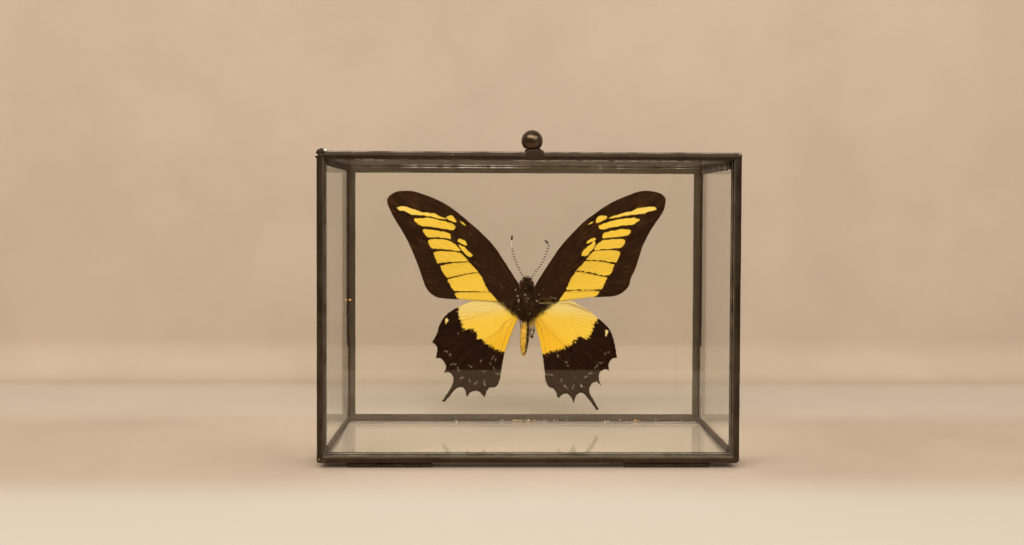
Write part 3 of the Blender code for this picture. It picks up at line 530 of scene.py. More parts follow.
def knob_finish():
    """The same metal on the cast knob, smoother and warmer, with fine pits."""
    f = Finish("blackened_knob")
    patches = f.noise(3.2, 4.0, 0.6)
    fine = f.noise(0.35, 3.0, 0.6)
    base = f.mix(f.step(patches, 0.35, 0.65), KNOB_METAL["brown"], KNOB_METAL["grey"])
    base = f.mix(f.step(fine, 0.55, 0.75), base, KNOB_METAL["pits"])
    rough = f.step(patches, 0.3, 0.7, 0.20, 0.34)
    pits = f.plus(f.times(fine, 0.4), f.times(f.noise(1.1, 2.0, 0.5), 0.6))
    f.set(Base_Color=base, Metallic=0.78, Roughness=rough, Normal=f.bump(pits, 0.10, 0.5))
    return f.material


def tin_glint_finish():
    """Tin coloured near white with little metal, as painted glints that stay bright in shade, with dark
    traces on it.
    """
    f = Finish("tin_painted_glints")
    streaks = f.plain_noise(f.lanes("run", 0.35), 1.0, 3.0)
    fine = f.noise(0.4, 3.0, 0.6)
    base = f.mix(f.step(streaks, 0.34, 0.60), TIN_TRACES, TIN_GLINT_COLOUR)
    base = f.mix(f.step(fine, 0.62, 0.75, 0.0, 0.5), base, TIN_TRACES)
    f.set(Base_Color=base, Metallic=0.15, Roughness=f.step(fine, 0.3, 0.7, 0.28, 0.42),
          Normal=f.bump(fine, 0.04, 0.5))
    return f.material


def glass_finish():
    """Clear float glass with a faint warm cast, which lets light through to the inside."""
    f = Finish("clear_glass")
    f.set(Base_Color=(0.998, 1.0, 0.985), Roughness=0.0, IOR=1.45, Transmission_Weight=1.0)
    clear = f.node("ShaderNodeBsdfTransparent", {"Color": (0.985, 0.99, 0.98)})
    shadow = f.node("ShaderNodeLightPath").outputs["Is Shadow Ray"]
    f.surface(shadow, f.shader.outputs[0], clear.outputs[0])
    return f.material


def glue_finish():
    """Clear set glue, slightly yellow."""
    f = Finish("clear_glue")
    cloud = f.noise(0.8, 2.0, 0.5)
    colour = f.mix(cloud, (0.86, 0.80, 0.62), (0.95, 0.93, 0.85))
    f.set(Base_Color=colour, Roughness=f.step(cloud, 0.3, 0.7, 0.08, 0.3), IOR=1.47,
          Transmission_Weight=0.85)
    return f.material


def yellow_scales(f, streak, scales):
    """The yellow of the wings, from cream through lemon to golden as the tone rises."""
    cream = f.mix(f.step(streak, 0.4, 0.7), SCALES["cream"], SCALES["straw"])
    tone = f.attribute("tone")
    lemon = f.mix(f.step(tone, 0.0, 0.5), cream, SCALES["lemon"])
    yellow = f.mix(f.step(tone, 0.5, 1.0), lemon, SCALES["golden"])
    yellow = f.mix(f.step(streak, 0.45, 0.75, 0.0, 0.22), yellow, SCALES["streaks"])
    return f.mix(f.step(scales, 0.25, 0.75, 0.14, 0.0), yellow, SCALES["between"])


def black_scales(f, streak, scales, hairline, teeth):
    """The brown-black of the wings, browner on the forewings with combed streaks of painted
    sheen, with single pale scales and the pale strokes."""
    warm = f.attribute("warm")
    hind = f.mix(f.step(streak, 0.35, 0.7), SCALES["hind_black"], SCALES["hind_brown"])
    fore = f.mix(f.step(streak, 0.35, 0.7), SCALES["fore_black"], SCALES["fore_brown"])
    black = f.mix(warm, hind, fore)
    black = f.mix(f.step(hairline, 0.52, 0.8, 0.0, 0.3), black, SCALES["hairlines"])
    black = f.mix(f.step(scales, 0.50, 0.8, 0.0, 0.2), black, SCALES["scale_tips"])
    # Combed streaks of painted sheen on the forewings.
    combed = f.plain_noise(f.lanes("fan", 120.0, "reach", 0.12), 1.0, 2.0)
    sheen = f.times(f.step(combed, 0.56, 0.74), warm)
    black = f.mix(f.times(sheen, 0.32), black, SCALES["sheen"])
    dust = f.times(f.step(f.noise(0.30, 1.0, 0.5), 0.66, 0.72), f.step(streak, 0.5, 0.6))
    black = f.mix(f.times(dust, 0.45), black, SCALES["dust"])
    stroke = f.times(f.attribute("lunule"), f.step(teeth, 0.40, 0.60))
    return f.mix(stroke, black, SCALES["strokes"])


def wing_finish(name, underside=False):
    """Wing scales: yellow where the mark distance is positive, brown-black elsewhere."""
    f = Finish(name)
    vein = f.attribute("vein")
    streak = f.plain_noise(f.lanes("fan", 26.0, "reach", 0.12), 0.9, 3.0)
    hairline = f.plain_noise(f.lanes("fan", 260.0, "reach", 1.0), 0.8, 2.0)
    scales = f.noise(0.16, 2.0, 0.6)
    powder = f.noise(0.55, 3.0, 0.6)
    teeth = f.noise(0.34, 1.0, 0.5)
    ragged = f.plain_noise(f.lanes("fan", 32.0, "reach", 0.45), 1.0, 2.0)
    jagged = f.plus(f.swing(powder, 1.8), f.plus(f.swing(teeth, 1.6), f.swing(ragged, 4.6)))
    jagged = f.times(jagged, f.step(f.attribute("warm"), 0.0, 1.0, 1.0, 0.20))
    cover = f.step(f.plus(f.attribute("mark"), jagged), -0.10, 0.12)
    yellow = yellow_scales(f, streak, scales)
    black = black_scales(f, streak, scales, hairline, teeth)
    if underside:
        grey = f.times(f.step(vein, 0.2, 1.1, 1.0, 0.0), f.step(powder, 0.35, 0.6, 0.2, 0.8))
        black = f.mix(grey, f.mix(0.5, black, (0.08, 0.05, 0.03)), (0.34, 0.29, 0.20))
        yellow = f.mix(0.35, yellow, (0.90, 0.72, 0.30))

    broken = f.step(teeth, 0.36, 0.52, 0.35, 1.0)
    line = f.times(f.step(f.plus(vein, f.swing(powder, 0.2)), 0.06, 0.24, 0.8, 0.0), broken)
    brown = f.mix(f.step(teeth, 0.50, 0.62), (0.48, 0.21, 0.018), (0.10, 0.042, 0.010))
    faint = f.step(f.plus(f.attribute("faint"), f.swing(powder, 0.3)), 0.05, 0.35, 0.40, 0.0)
    yellow = f.mix(faint, yellow, (0.50, 0.23, 0.03))
    yellow = f.mix(line, yellow, brown)
    colour = f.mix(cover, black, yellow)
    rim = f.step(f.plus(f.attribute("edge"), f.times(powder, 0.2)), 0.12, 0.32, 0.8, 0.0)
    colour = f.mix(f.times(rim, f.attribute("rim")), colour, (0.03, 0.014, 0.006))

    height = f.plus(f.times(scales, 0.5), f.times(hairline, 0.5))
    f.set(Base_Color=colour, Roughness=f.step(powder, 0.3, 0.7, 0.66, 0.84),
          Specular_IOR_Level=0.06, Normal=f.bump(height, 0.05, 0.6))
    return f.material


def body_finish():
    """Dark furry skin that turns yellow on the abdomen, with a ragged dark stripe on its right."""
    f = Finish("body_skin")
    powder = f.noise(0.4, 3.0, 0.6)
    mottle = f.noise(0.9, 2.0, 0.5)
    fibres = f.noise(0.5, 3.0, 0.6, f.stretched(3.0, 3.0, 0.7))
    dark = f.mix(powder, (0.014, 0.006, 0.002), (0.040, 0.020, 0.008))
    olive = f.mix(fibres, (0.20, 0.12, 0.02), (0.45, 0.27, 0.04))
    gold = f.mix(fibres, (0.50, 0.26, 0.02), (0.78, 0.46, 0.05))
    belly = f.mix(f.step(f.attribute("down"), 0.08, 0.42), olive, gold)
    belly = f.mix(f.step(mottle, 0.50, 0.64, 0.0, 0.6), belly, (0.30, 0.17, 0.02))
    belly = f.mix(f.step(mottle, 0.36, 0.48, 0.5, 0.0), belly, (0.86, 0.62, 0.10))
    speckle = f.times(f.step(powder, 0.56, 0.68), f.step(f.attribute("down"), 0.10, 0.45, 0.75, 0.1))
    belly = f.mix(speckle, belly, dark)
    ragged = f.swing(f.plus(f.times(mottle, 0.65), f.times(powder, 0.35)), 3.4)
    belly = f.mix(f.step(f.plus(f.attribute("stripe"), ragged), 0.40, 0.66), belly, dark)
    belly = f.mix(f.attribute("ring"), belly, (0.20, 0.11, 0.02))
    colour = f.mix(f.attribute("belly"), dark, belly)
    eye = f.mix(powder, (0.016, 0.008, 0.004), (0.11, 0.04, 0.02))
    colour = f.mix(f.attribute("eye"), colour, eye)
    f.set(Base_Color=colour, Roughness=f.step(f.attribute("eye"), 0.0, 1.0, 0.75, 0.28),
          Specular_IOR_Level=0.14, Normal=f.bump(fibres, 0.12, 0.7))
    return f.material


def hair_finish():
    """Hairs and scales, each with its own depth from dark brown over straw yellow to white."""
    f = Finish("body_hair")
    ramp = f.node("ShaderNodeValToRGB", {"Fac": f.attribute("tint")})
    elements = ramp.color_ramp.elements
    while len(elements) < len(HAIR_TINTS):
        elements.new(0.5)
    for element, (position, colour) in zip(elements, HAIR_TINTS):
        element.position = position
        element.color = (*colour, 1.0)
    tip = f.attribute("tip")
    colour = f.mix(f.step(tip, 0.3, 1.0, 0.0, 0.35), ramp.outputs["Color"], (0.55, 0.42, 0.22),
                   "SOFT_LIGHT")
    f.set(Base_Color=colour, Roughness=f.step(tip, 0.0, 1.0, 0.6, 0.45), Specular_IOR_Level=0.1)
    return f.material


def plate_finish():
    """The tan scales that cover the joints of the forewings."""
    f = Finish("shoulder_scales")
    powder = f.noise(0.3, 3.0, 0.6)
    colour = f.mix(f.step(powder, 0.35, 0.65), (0.26, 0.13, 0.07), (0.60, 0.40, 0.26))
    colour = f.mix(f.attribute("white"), colour, (0.88, 0.84, 0.74))
    f.set(Base_Color=colour, Roughness=f.step(powder, 0.3, 0.7, 0.5, 0.7),
          Normal=f.bump(powder, 0.06, 0.6))
    return f.material


def antenna_finish():
    """Antenna: a dark knot on each segment, pale between them, and a dark club."""
    f = Finish("antenna_rings")
    grain = f.noise(0.3, 2.0, 0.5)
    dark = f.mix(grain, (0.008, 0.003, 0.001), (0.022, 0.010, 0.004))
    colour = f.mix(f.step(f.attribute("knot"), 0.05, 0.35), (0.88, 0.78, 0.64), dark)
    f.set(Base_Color=colour, Roughness=f.step(grain, 0.3, 0.7, 0.4, 0.6), Specular_IOR_Level=0.3)
    return f.material


def leg_finish():
    """Thin dark legs with lighter dust between their spines."""
    f = Finish("leg_skin")
    powder = f.noise(0.3, 3.0, 0.6)
    colour = f.mix(f.step(powder, 0.4, 0.65), (0.018, 0.009, 0.004), (0.10, 0.065, 0.03))
    f.set(Base_Color=colour, Roughness=f.step(powder, 0.3, 0.7, 0.4, 0.6))
    return f.material


def flux_finish(name, low, high):
    """Set flux, glossy and slightly uneven in colour."""
    f = Finish(name)
    cloud = f.noise(0.4, 2.0, 0.5)
    f.set(Base_Color=f.mix(cloud, low, high), Roughness=f.step(cloud, 0.3, 0.7, 0.15, 0.3),
          Coat_Weight=0.4)
    return f.material


def stage_finish():
    """Pale plaster for the floor and wall, yellower at its front edge, with painted light: paler in
    front of the box, where the lamps fall most, and close behind it, where the box's shadow falls.
    Seen from behind, it isn't there."""
    f = Finish("pale_plaster")
    patches = f.noise(60.0, 4.0, 0.55)
    colour = f.mix(f.step(patches, 0.3, 0.7), PLASTER["dark"], PLASTER["light"])
    depth = f.node("ShaderNodeSeparateXYZ", {"Vector": f.place}).outputs["Y"]
    # Painted light: the floor paler close behind the box, where its shadow falls, and in front of it,
    # where the lamps fall most.
    rise, fall = BEHIND_BOX_PAINTED_LIGHT
    behind_box_painted_light = f.times(f.step(depth, *rise), f.step(depth, *fall, 1.0, 0.0))
    colour = f.mix(f.times(behind_box_painted_light, 0.5), colour, PLASTER["front"])
    colour = f.mix(f.step(depth, *FRONT_PAINTED_LIGHT_ZONE, 1.0, 0.0), colour, PLASTER["front"])
    colour = f.mix(f.step(depth, *EDGE_ZONE, 1.0, 0.0), colour, PLASTER["edge"])
    f.set(Base_Color=colour, Roughness=0.8, Specular_IOR_Level=0.15,
          Normal=f.bump(f.noise(2.5, 4.0, 0.6), 0.15, 0.3))
    behind = f.node("ShaderNodeNewGeometry").outputs["Backfacing"]
    gone = f.node("ShaderNodeBsdfTransparent")
    f.surface(behind, f.shader.outputs[0], gone.outputs[0])
    return f.material


# Mesh helpers

def set_values(mesh, name, values):
    layer = mesh.attributes.new(name, "FLOAT", "POINT")
    layer.data.foreach_set("value", np.asarray(values, dtype=np.float32))


def add_piece(name, mesh, matrix, finish, body):
    """Places a mesh that was made in millimetres and makes it ride on a body."""
    mesh.transform(matrix)
    mesh.name = name
    mesh.materials.clear()
    for material in finish if isinstance(finish, (list, tuple)) else [finish]:
        mesh.materials.append(material)
    piece = bpy.data.objects.new(name, mesh)
    bpy.context.scene.collection.objects.link(piece)
    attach(piece, body)
    return piece


def mesh_from(name, verts, faces, smooth=True):
    mesh = bpy.data.meshes.new(name)
    mesh.from_pydata([tuple(v) for v in verts], [], faces)
    mesh.update()
    if smooth:
        mesh.shade_smooth()
    return mesh


def with_modifiers(mesh, settings):
    """A new mesh: the given one after some modifiers, each written as (kind, values)."""
    holder = bpy.data.objects.new("holder", mesh)
    bpy.context.scene.collection.objects.link(holder)
    for kind, values in settings:
        modifier = holder.modifiers.new(kind, kind)
        for key, value in values.items():
            setattr(modifier, key, value)
    graph = bpy.context.evaluated_depsgraph_get()
    made = bpy.data.meshes.new_from_object(holder.evaluated_get(graph))
    bpy.data.objects.remove(holder, do_unlink=True)
    bpy.data.meshes.remove(mesh)
    return made


def node_mesh(matrix, *names):
    """CAD nodes joined in one mesh, welded and in the millimetres of the given frame."""
    work = bmesh.new()
    for name in names:
        work.from_mesh(NODES[name].data)
    work.transform(matrix.inverted())
    bmesh.ops.remove_doubles(work, verts=work.verts, dist=0.001)
    bmesh.ops.recalc_face_normals(work, faces=work.faces)
    return work


def finished(work, name):
    mesh = bpy.data.meshes.new(name)
    work.to_mesh(mesh)
    work.free()
    return mesh


def append_mesh(verts, faces, more, more_faces):
    """Adds another mesh to the lists of vertices and faces."""
    first = len(verts)
    faces += [tuple(first + i for i in face) for face in more_faces]
    verts += more


def swept_faces(rows, count, first=0, closed=False):
    """Quads between neighbouring rows of vertices, where each row is a ring of its own."""
    faces = []
    for row in range(rows if closed else rows - 1):
        here, there = first + row * count, first + (row + 1) % rows * count
        for i in range(count):
            j = (i + 1) % count
            faces.append((here + i, here + j, there + j, there + i))
    return faces


def rough_field(point, size, seed=0.0):
    """Smooth noise between about -1 and 1 with features of the given size."""
    return noise.noise(Vector(point) / size + Vector((seed, -seed, 2 * seed)))


def catmull(p0, p1, p2, p3, t):
    return 0.5 * (
        2 * p1 + (p2 - p0) * t + (2 * p0 - 5 * p1 + 4 * p2 - p3) * t**2
        + (3 * p1 - p0 - 3 * p2 + p3) * t**3
    )


def rounded_path(points, steps):
    """Points along a smooth open path through the given ones."""
    nodes = [Vector(p) for p in points]
    nodes = [2 * nodes[0] - nodes[1]] + nodes + [2 * nodes[-1] - nodes[-2]]
    path = []
    for i in range(1, len(nodes) - 2):
        for step in range(steps):
            path.append(catmull(*nodes[i - 1:i + 3], step / steps))
    path.append(nodes[-2])
    return path


# Metal strips

def arc(centre, radius, start, end, steps):
    points = []
    for step in range(steps + 1):
        angle = math.radians(start + (end - start) * step / steps)
        points.append((centre[0] + radius * math.cos(angle), centre[1] + radius * math.sin(angle)))
    return points


def lined(start, end, count):
    """Points between two others, without the ends."""
    shares = [i / (count + 1) for i in range(1, count + 1)]
    return [(start[0] + (end[0] - start[0]) * s, start[1] + (end[1] - start[1]) * s) for s in shares]


def free(points, **looks):
    """Section points on a surface that may be uneven, with the looks that they have there. A look
    that starts with top_ holds on the top side of the box instead of the plain one."""
    return [(u, v, 1.0, looks) for u, v in points]


def fixed(points, **looks):
    """Section points inside a slot or against a pane, which stay put."""
    return [(u, v, 0.0, looks) for u, v in points]


def crowned(start, end, depth, count):
    """Points between the two ends of a front face that bulges forwards."""
    points = []
    for i in range(1, count + 1):
        share = i / (count + 1)
        points.append((start + (end - start) * share, depth - CROWN * math.sin(math.pi * share)))
    return points


def door_section():
    """A channel around the pane: rounded outside, a soft lip and a slot that stays exact."""
    r = FRONT_ROUNDING
    lip = 0.35
    back = 0.2
    face = CHANNEL_FACE
    return (
        # On the box's top side the dull look is painted shade on the rail's face, and the bare look
        # along the top rounding and the inner lip is a painted highlight.
        free(arc((r, r), r, 180, 202, 2), outer=1.0, worn=0.15, top_outer=0.5, top_dull=0.5)
        + free(arc((r, r), r, 210, 235, 2), outer=1.0, worn=0.15, top_outer=0.0, top_bare=0.7)
        + free(arc((r, r), r, 245, 270, 2), outer=0.4, top_outer=0.0, top_dull=0.65)
        + free(crowned(r, face - lip, 0.0, 5), top_dull=0.65)
        + free(arc((face - lip, lip), lip, 270, 315, 3), inner=1.0, top_inner=0.0, top_dull=0.65)
        + free(arc((face - lip, lip), lip, 330, 360, 2), inner=0.5, bare=0.6, top_inner=0.0,
               top_bare=0.3, top_dull=0.6)
        + fixed([(face, SLOT), (CHANNEL_WALL, SLOT), (CHANNEL_WALL, DOOR_DEPTH - SLOT),
                 (face, DOOR_DEPTH - SLOT)])
        + free(arc((face - back, DOOR_DEPTH - back), back, 0, 90, 3), bare=0.7, worn=1.0)
        + free(lined((face - back, DOOR_DEPTH), (r, DOOR_DEPTH), 2))
        + free(arc((ROUNDING, DOOR_DEPTH - ROUNDING), ROUNDING, 90, 180, 4), worn=0.5)
        + free(lined((0, DOOR_DEPTH - ROUNDING), (0, r), 2), outer=0.5)
    )


def case_front_section():
    """An angle over the front edge of the side panes and along their outside."""
    start = DOOR_DEPTH + DOOR_GAP
    end = start + CASE_LEG
    r = ROUNDING
    lip = 0.3
    face = CHANNEL_FACE
    outside = GLASS_INSET - STRIP_GAP
    return (
        free(arc((r, start + r), r, 180, 270, 5), worn=0.4)
        + free(lined((r, start), (face - lip, start), 3))
        # The bare look on this lip is partly a painted highlight line along its edge.
        + free(arc((face - lip, start + lip), lip, 270, 360, 4), worn=0.8, bare=0.4)
        + free([(face, start + CASE_FRONT - 0.1)], bare=0.6)
        + fixed([(face - 0.1, start + CASE_FRONT), (outside, start + CASE_FRONT), (outside, end),
                 (0.0, end)])
        + free(lined((0, end), (0, start + r), 3), outer=0.3)
    )


def back_section():
    """An angle around a back edge: a leg on the back pane and a leg on the side."""
    r = ROUNDING
    inner_y = DEPTH - BACK_METAL
    leg_end = DEPTH - BACK_SIDE_LEG
    return (
        fixed([(STRIP_METAL, leg_end), (STRIP_METAL, inner_y), (BACK_LEG, inner_y)], inner=1.0)
        + free(arc((BACK_LEG - 0.15, DEPTH - 0.15), 0.15, 0, 90, 2), worn=0.8)
        + free(lined((BACK_LEG - 0.15, DEPTH), (r, DEPTH), 4))
        + free(arc((r, DEPTH - r), r, 90, 180, 5), outer=0.8, worn=0.4)
        + free(lined((0, DEPTH - r), (0, leg_end + 0.1), 3))
        + free([(0.0, leg_end + 0.1), (0.1, leg_end)], worn=0.6)
    )


def fillet_section():
    """The bead of solder in the corner between the side panes and the back pane."""
    u = GLASS_INSET + GLASS + STRIP_GAP / 2
    v = DEPTH - BACK_METAL - GLASS - STRIP_GAP / 2
    wide, deep = FILLET
    curve = [(u + wide * math.cos(a), v - deep * math.sin(a))
             for a in (math.radians(10 * step) for step in range(10))]
    return (
        # On the box's top side the bare look along this bead is a painted glint.
        fixed([(u, v)]) + free(curve[:4], outer=0.5, top_outer=0.0, top_bare=1.0)
        + free(curve[4:6], worn=0.4, top_bare=1.0) + free(curve[6:], outer=0.5)
    )


def add_top_glint_beads():
    """Beads of solder along the top pane's front and back edges, where they show, coloured as painted
    glints.
    """
    verts, faces, runs = [], [], []
    for start, end, y, z, radius in TOP_GLINT_BEADS:
        xs = np.arange(start, end, 0.4)
        fade = [min(1.0, (x - start) / 2.0, (xs[-1] - x) / 2.0) for x in xs]
        radii = [radius * (0.15 + 0.85 * f) * (1.0 + 0.35 * rough_field((x, y, 0.0), 4.0, 5.0))
                 for x, f in zip(xs, fade)]
        more, more_faces, along = tube_mesh([Vector((x, y, z)) for x in xs], radii, 8)
        append_mesh(verts, faces, more, more_faces)
        runs += [length + start for length in along]
    mesh = mesh_from("top_glint_beads_solder", verts, faces)
    set_values(mesh, "run", runs)
    add_piece("top_glint_beads_solder", mesh, BOX, TIN_GLINT, "case")


def uneven(work, weights, height, blob, seed):
    """Pushes free vertices along their normals: hand-spread solder, thicker at the corners."""
    work.normal_update()
    moves = []
    for vertex in work.verts:
        weight = weights[vertex.index]
        if not weight:
            continue
        p = vertex.co
        lump = height * rough_field(p, 6.0, seed) + 0.3 * height * rough_field(p, 1.6, seed + 3)
        corner = math.hypot(WIDTH / 2 - abs(p.x), min(p.z, HEIGHT - p.z))
        lump += blob * math.exp(-(corner / 3.0) ** 2) * (0.3 + 0.8 * rough_field(p, 2.2, seed + 7))
        moves.append((vertex, vertex.normal * lump * weight))
    for vertex, move in moves:
        vertex.co += move


def corner_rounded(point):
    """The point moved so that the box's outline has round corners instead of sharp ones."""
    side = math.copysign(1.0, point.x)
    upper = point.z > HEIGHT / 2
    r = CORNER_RADIUS
    a = r - (WIDTH / 2 - abs(point.x))
    b = r - (HEIGHT - point.z if upper else point.z)
    if min(a, b) <= 0.0:
        return point
    share = max(a, b) / math.hypot(a, b)
    x = side * (WIDTH / 2 - r + a * share)
    z = HEIGHT - r + b * share if upper else r - b * share
    return Vector((x, point.y, z))


def ring_mesh(section, spacing):
    """A section swept around the box's outline, with the values of each vertex."""
    half_wide = WIDTH / 2
    sides = (
        (Vector((-half_wide, 0, 0)), Vector((1, 0, 0)), Vector((0, 0, 1)), WIDTH),
        (Vector((half_wide, 0, 0)), Vector((0, 0, 1)), Vector((-1, 0, 0)), HEIGHT),
        (Vector((half_wide, 0, HEIGHT)), Vector((-1, 0, 0)), Vector((0, 0, -1)), WIDTH),
        (Vector((-half_wide, 0, HEIGHT)), Vector((0, 0, -1)), Vector((1, 0, 0)), HEIGHT),
    )
    verts, values = [], {name: [] for name in ("weight", "run", "across", *LOOKS)}
    for number, (corner, direction, inward, length) in enumerate(sides):
        near = [0.25 * i for i in range(7)]
        even = np.arange(1.5 + spacing, length - 1.5 - spacing / 2, spacing)
        shares = [x / length for x in (*near, *even, *(length - x for x in near[:0:-1]))]
        for share in shares:
            for u, depth, weight, looks in section:
                along = u + (length - 2 * u) * share
                point = corner_rounded(corner + direction * along + inward * u)
                verts.append(point + Vector((0, depth, 0)))
                values["weight"].append(weight)
                values["run"].append(along + 200.0 * number)
                values["across"].append(u + depth)
                for name in LOOKS:
                    look = looks.get(name, 0.0)
                    values[name].append(looks.get(f"top_{name}", look) if number == TOP_SIDE else look)
    count = len(section)
    return verts, swept_faces(len(verts) // count, count, closed=True), values


def frame_ring(name, sections, replaced, body, seed, height=0.05, blob=0.16):
    """One soldered frame around the box's outline, swept from its sections."""
    verts, faces, values = [], [], {}
    for section, spacing in sections:
        more, more_faces, more_values = ring_mesh(section, spacing)
        append_mesh(verts, faces, more, more_faces)
        for key, value in more_values.items():
            values.setdefault(key, []).extend(value)
    work = bmesh.new()
    work.from_mesh(mesh_from(name, verts, faces))
    bmesh.ops.recalc_face_normals(work, faces=work.faces)
    work.verts.ensure_lookup_table()
    work.verts.index_update()
    uneven(work, values.pop("weight"), height, blob, seed)
    mesh = finished(work, name)
    for key, value in values.items():
        set_values(mesh, key, value)
    mesh.shade_smooth()
    mesh.set_sharp_from_angle(angle=math.radians(50))
    piece = add_piece(name, mesh, BOX, METAL, body)
    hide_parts(*replaced)
    return piece


def bar(section, start, end, spacing, shape):
    """A closed bar along Y. shape(u, v, y) moves each point of its section."""
    rows = max(2, round((end - start) / spacing) + 1)
    count = len(section)
    verts = []
    for row in range(rows):
        y = start + (end - start) * row / (rows - 1)
        for u, v in section:
            x, z = shape(u, v, y)
            verts.append((x, y, z))
    faces = swept_faces(rows, count)
    faces.append(tuple(range(count)))
    faces.append(tuple(range((rows - 1) * count, rows * count))[::-1])
    return verts, faces


def depth_edge(corner, seed):
    """The angle along one edge of the box's depth and the beaded solder seam inside it."""
    side = -1 if corner.endswith("left") else 1
    top = corner.startswith("top")
    front = DOOR_DEPTH + DOOR_GAP
    r = ROUNDING
    angle = [
        (EDGE_LEG, 0.04), (EDGE_LEG, STRIP_METAL), (STRIP_METAL, STRIP_METAL),
        (STRIP_METAL, EDGE_LEG), (0.04, EDGE_LEG),
    ] + lined((0, EDGE_LEG), (0, r), 3) + arc((r, r), r, 180, 270, 5) + lined((r, 0), (EDGE_LEG, 0), 3)

    def to_box(u, v):
        return side * (WIDTH / 2 - u), HEIGHT - v if top else v

    def angle_shape(u, v, y):
        bulge = 0.05 * rough_field((u, v, y), 4.0, seed) if min(u, v) < 0.05 else 0.0
        return to_box(u - bulge, v - bulge)

    inner = GLASS_INSET + GLASS + STRIP_GAP
    height, beads, pitch, lumps, contrast, looks = SEAMS[corner]
    seam = [(0.0, 0.0)] + arc((0, 0), 1.0, 0, 90, 12)

    def bead_turn(y):
        return y / pitch + 0.5 * rough_field((0, y, 0), 5.0, seed)

    def seam_shape(u, v, y):
        if u == 0.0 and v == 0.0:
            return to_box(inner, inner)
        lump = 1.0 + beads * math.sin(2 * math.pi * bead_turn(y))
        lump += lumps * rough_field((2 * u, y, 2 * v), 1.3, seed + 5)
        return to_box(inner + SEAM_WIDTH * u * lump, inner + height * v * lump)

    verts, faces = bar(
        angle, front + CASE_LEG + STRIP_GAP, DEPTH - BACK_SIDE_LEG - STRIP_GAP, 1.5, angle_shape,
    )
    first = len(verts)
    more, more_faces = bar(
        seam, front + CASE_FRONT + STRIP_GAP, DEPTH - BACK_METAL - GLASS - 2 * STRIP_GAP, 0.3,
        seam_shape,
    )
    append_mesh(verts, faces, more, more_faces)
    work = bmesh.new()
    work.from_mesh(mesh_from("edge", verts, faces))
    bmesh.ops.recalc_face_normals(work, faces=work.faces)
    mesh = finished(work, "edge")
    values = {name: [0.0] * len(verts) for name in ("run", "across", *LOOKS)}
    for i, (x, y, z) in enumerate(verts):
        values["run"][i] = y
        values["across"][i] = x + z
    # Along each bead's crest the looks are wear and brass and also a painted highlight on the top of
    # the seam; between the beads the seam is darker and duller.
    for i, (_, y, _) in enumerate(more):
        place = i % len(seam)
        crest = math.sin(math.pi * (place - 1) / (len(seam) - 2)) if place else 0.0
        high = 0.5 + 0.5 * math.sin(2 * math.pi * bead_turn(y))
        high = (1.0 - contrast) + contrast * high
        for name, amount in looks.items():
            values[name][first + i] = amount * max(crest, 0.0) ** 3 * high
        values["dull"][first + i] = max(1.0 - high, 0.7 * contrast)
    for name, value in values.items():
        set_values(mesh, name, value)
    mesh.shade_smooth()
    mesh.set_sharp_from_angle(angle=math.radians(45))
    piece = add_piece(f"soldered_edge_{corner}", mesh, BOX, METAL, "case")
    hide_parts(f"edge_{corner}", f"solder_seam_{corner}")


def softened(name, node, body, finish, voxel, rounds, lump, seed, looks=()):
    """A cast piece: the CAD solid remeshed finely, smoothed and made slightly uneven."""
    work = node_mesh(BOX, node)
    mesh = with_modifiers(finished(work, name), [
        ("REMESH", {"mode": "VOXEL", "voxel_size": voxel}),
        ("SMOOTH", {"factor": 0.5, "iterations": rounds}),
    ])
    work = bmesh.new()
    work.from_mesh(mesh)
    work.normal_update()
    for vertex in work.verts:
        vertex.co += vertex.normal * lump * rough_field(vertex.co, 1.8, seed)
    work.to_mesh(mesh)
    work.free()
    for look, amount in looks:
        set_values(mesh, look, [amount] * len(mesh.vertices))
    mesh.shade_smooth()
    piece = add_piece(name, mesh, BOX, finish, body)
    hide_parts(node)
    return piece


def in_order(work):
    """The same mesh with its faces in an order that no run changes."""
    work.verts.index_update()
    faces = []
    for face in work.faces:
        ring = [vertex.index for vertex in face.verts]
        first = ring.index(min(ring))
        faces.append(ring[first:] + ring[:first])
    ordered = bmesh.new()
    ordered.from_mesh(mesh_from("ordered", [v.co for v in work.verts], sorted(faces)))
    work.free()
    return ordered


def hinge_part(node, body):
    """A rolled sheet piece of the hinge with its sharp edges eased."""
    work = node_mesh(BOX, node)
    bmesh.ops.dissolve_limit(work, angle_limit=math.radians(4), verts=work.verts, edges=work.edges)
    sharp = [e for e in work.edges if len(e.link_faces) == 2 and e.calc_face_angle() > math.radians(60)]
    bmesh.ops.bevel(work, geom=sharp, offset=0.09, segments=2, affect="EDGES", profile=0.5)
    work = in_order(work)
    bmesh.ops.triangulate(work, faces=[f for f in work.faces if len(f.verts) > 4])
    mesh = finished(work, node)
    set_values(mesh, "worn", [0.35] * len(mesh.vertices))
    mesh.shade_smooth()
    mesh.set_sharp_from_angle(angle=math.radians(40))
    piece = add_piece(f"{node}_rolled", mesh, BOX, METAL, body)
    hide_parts(node)


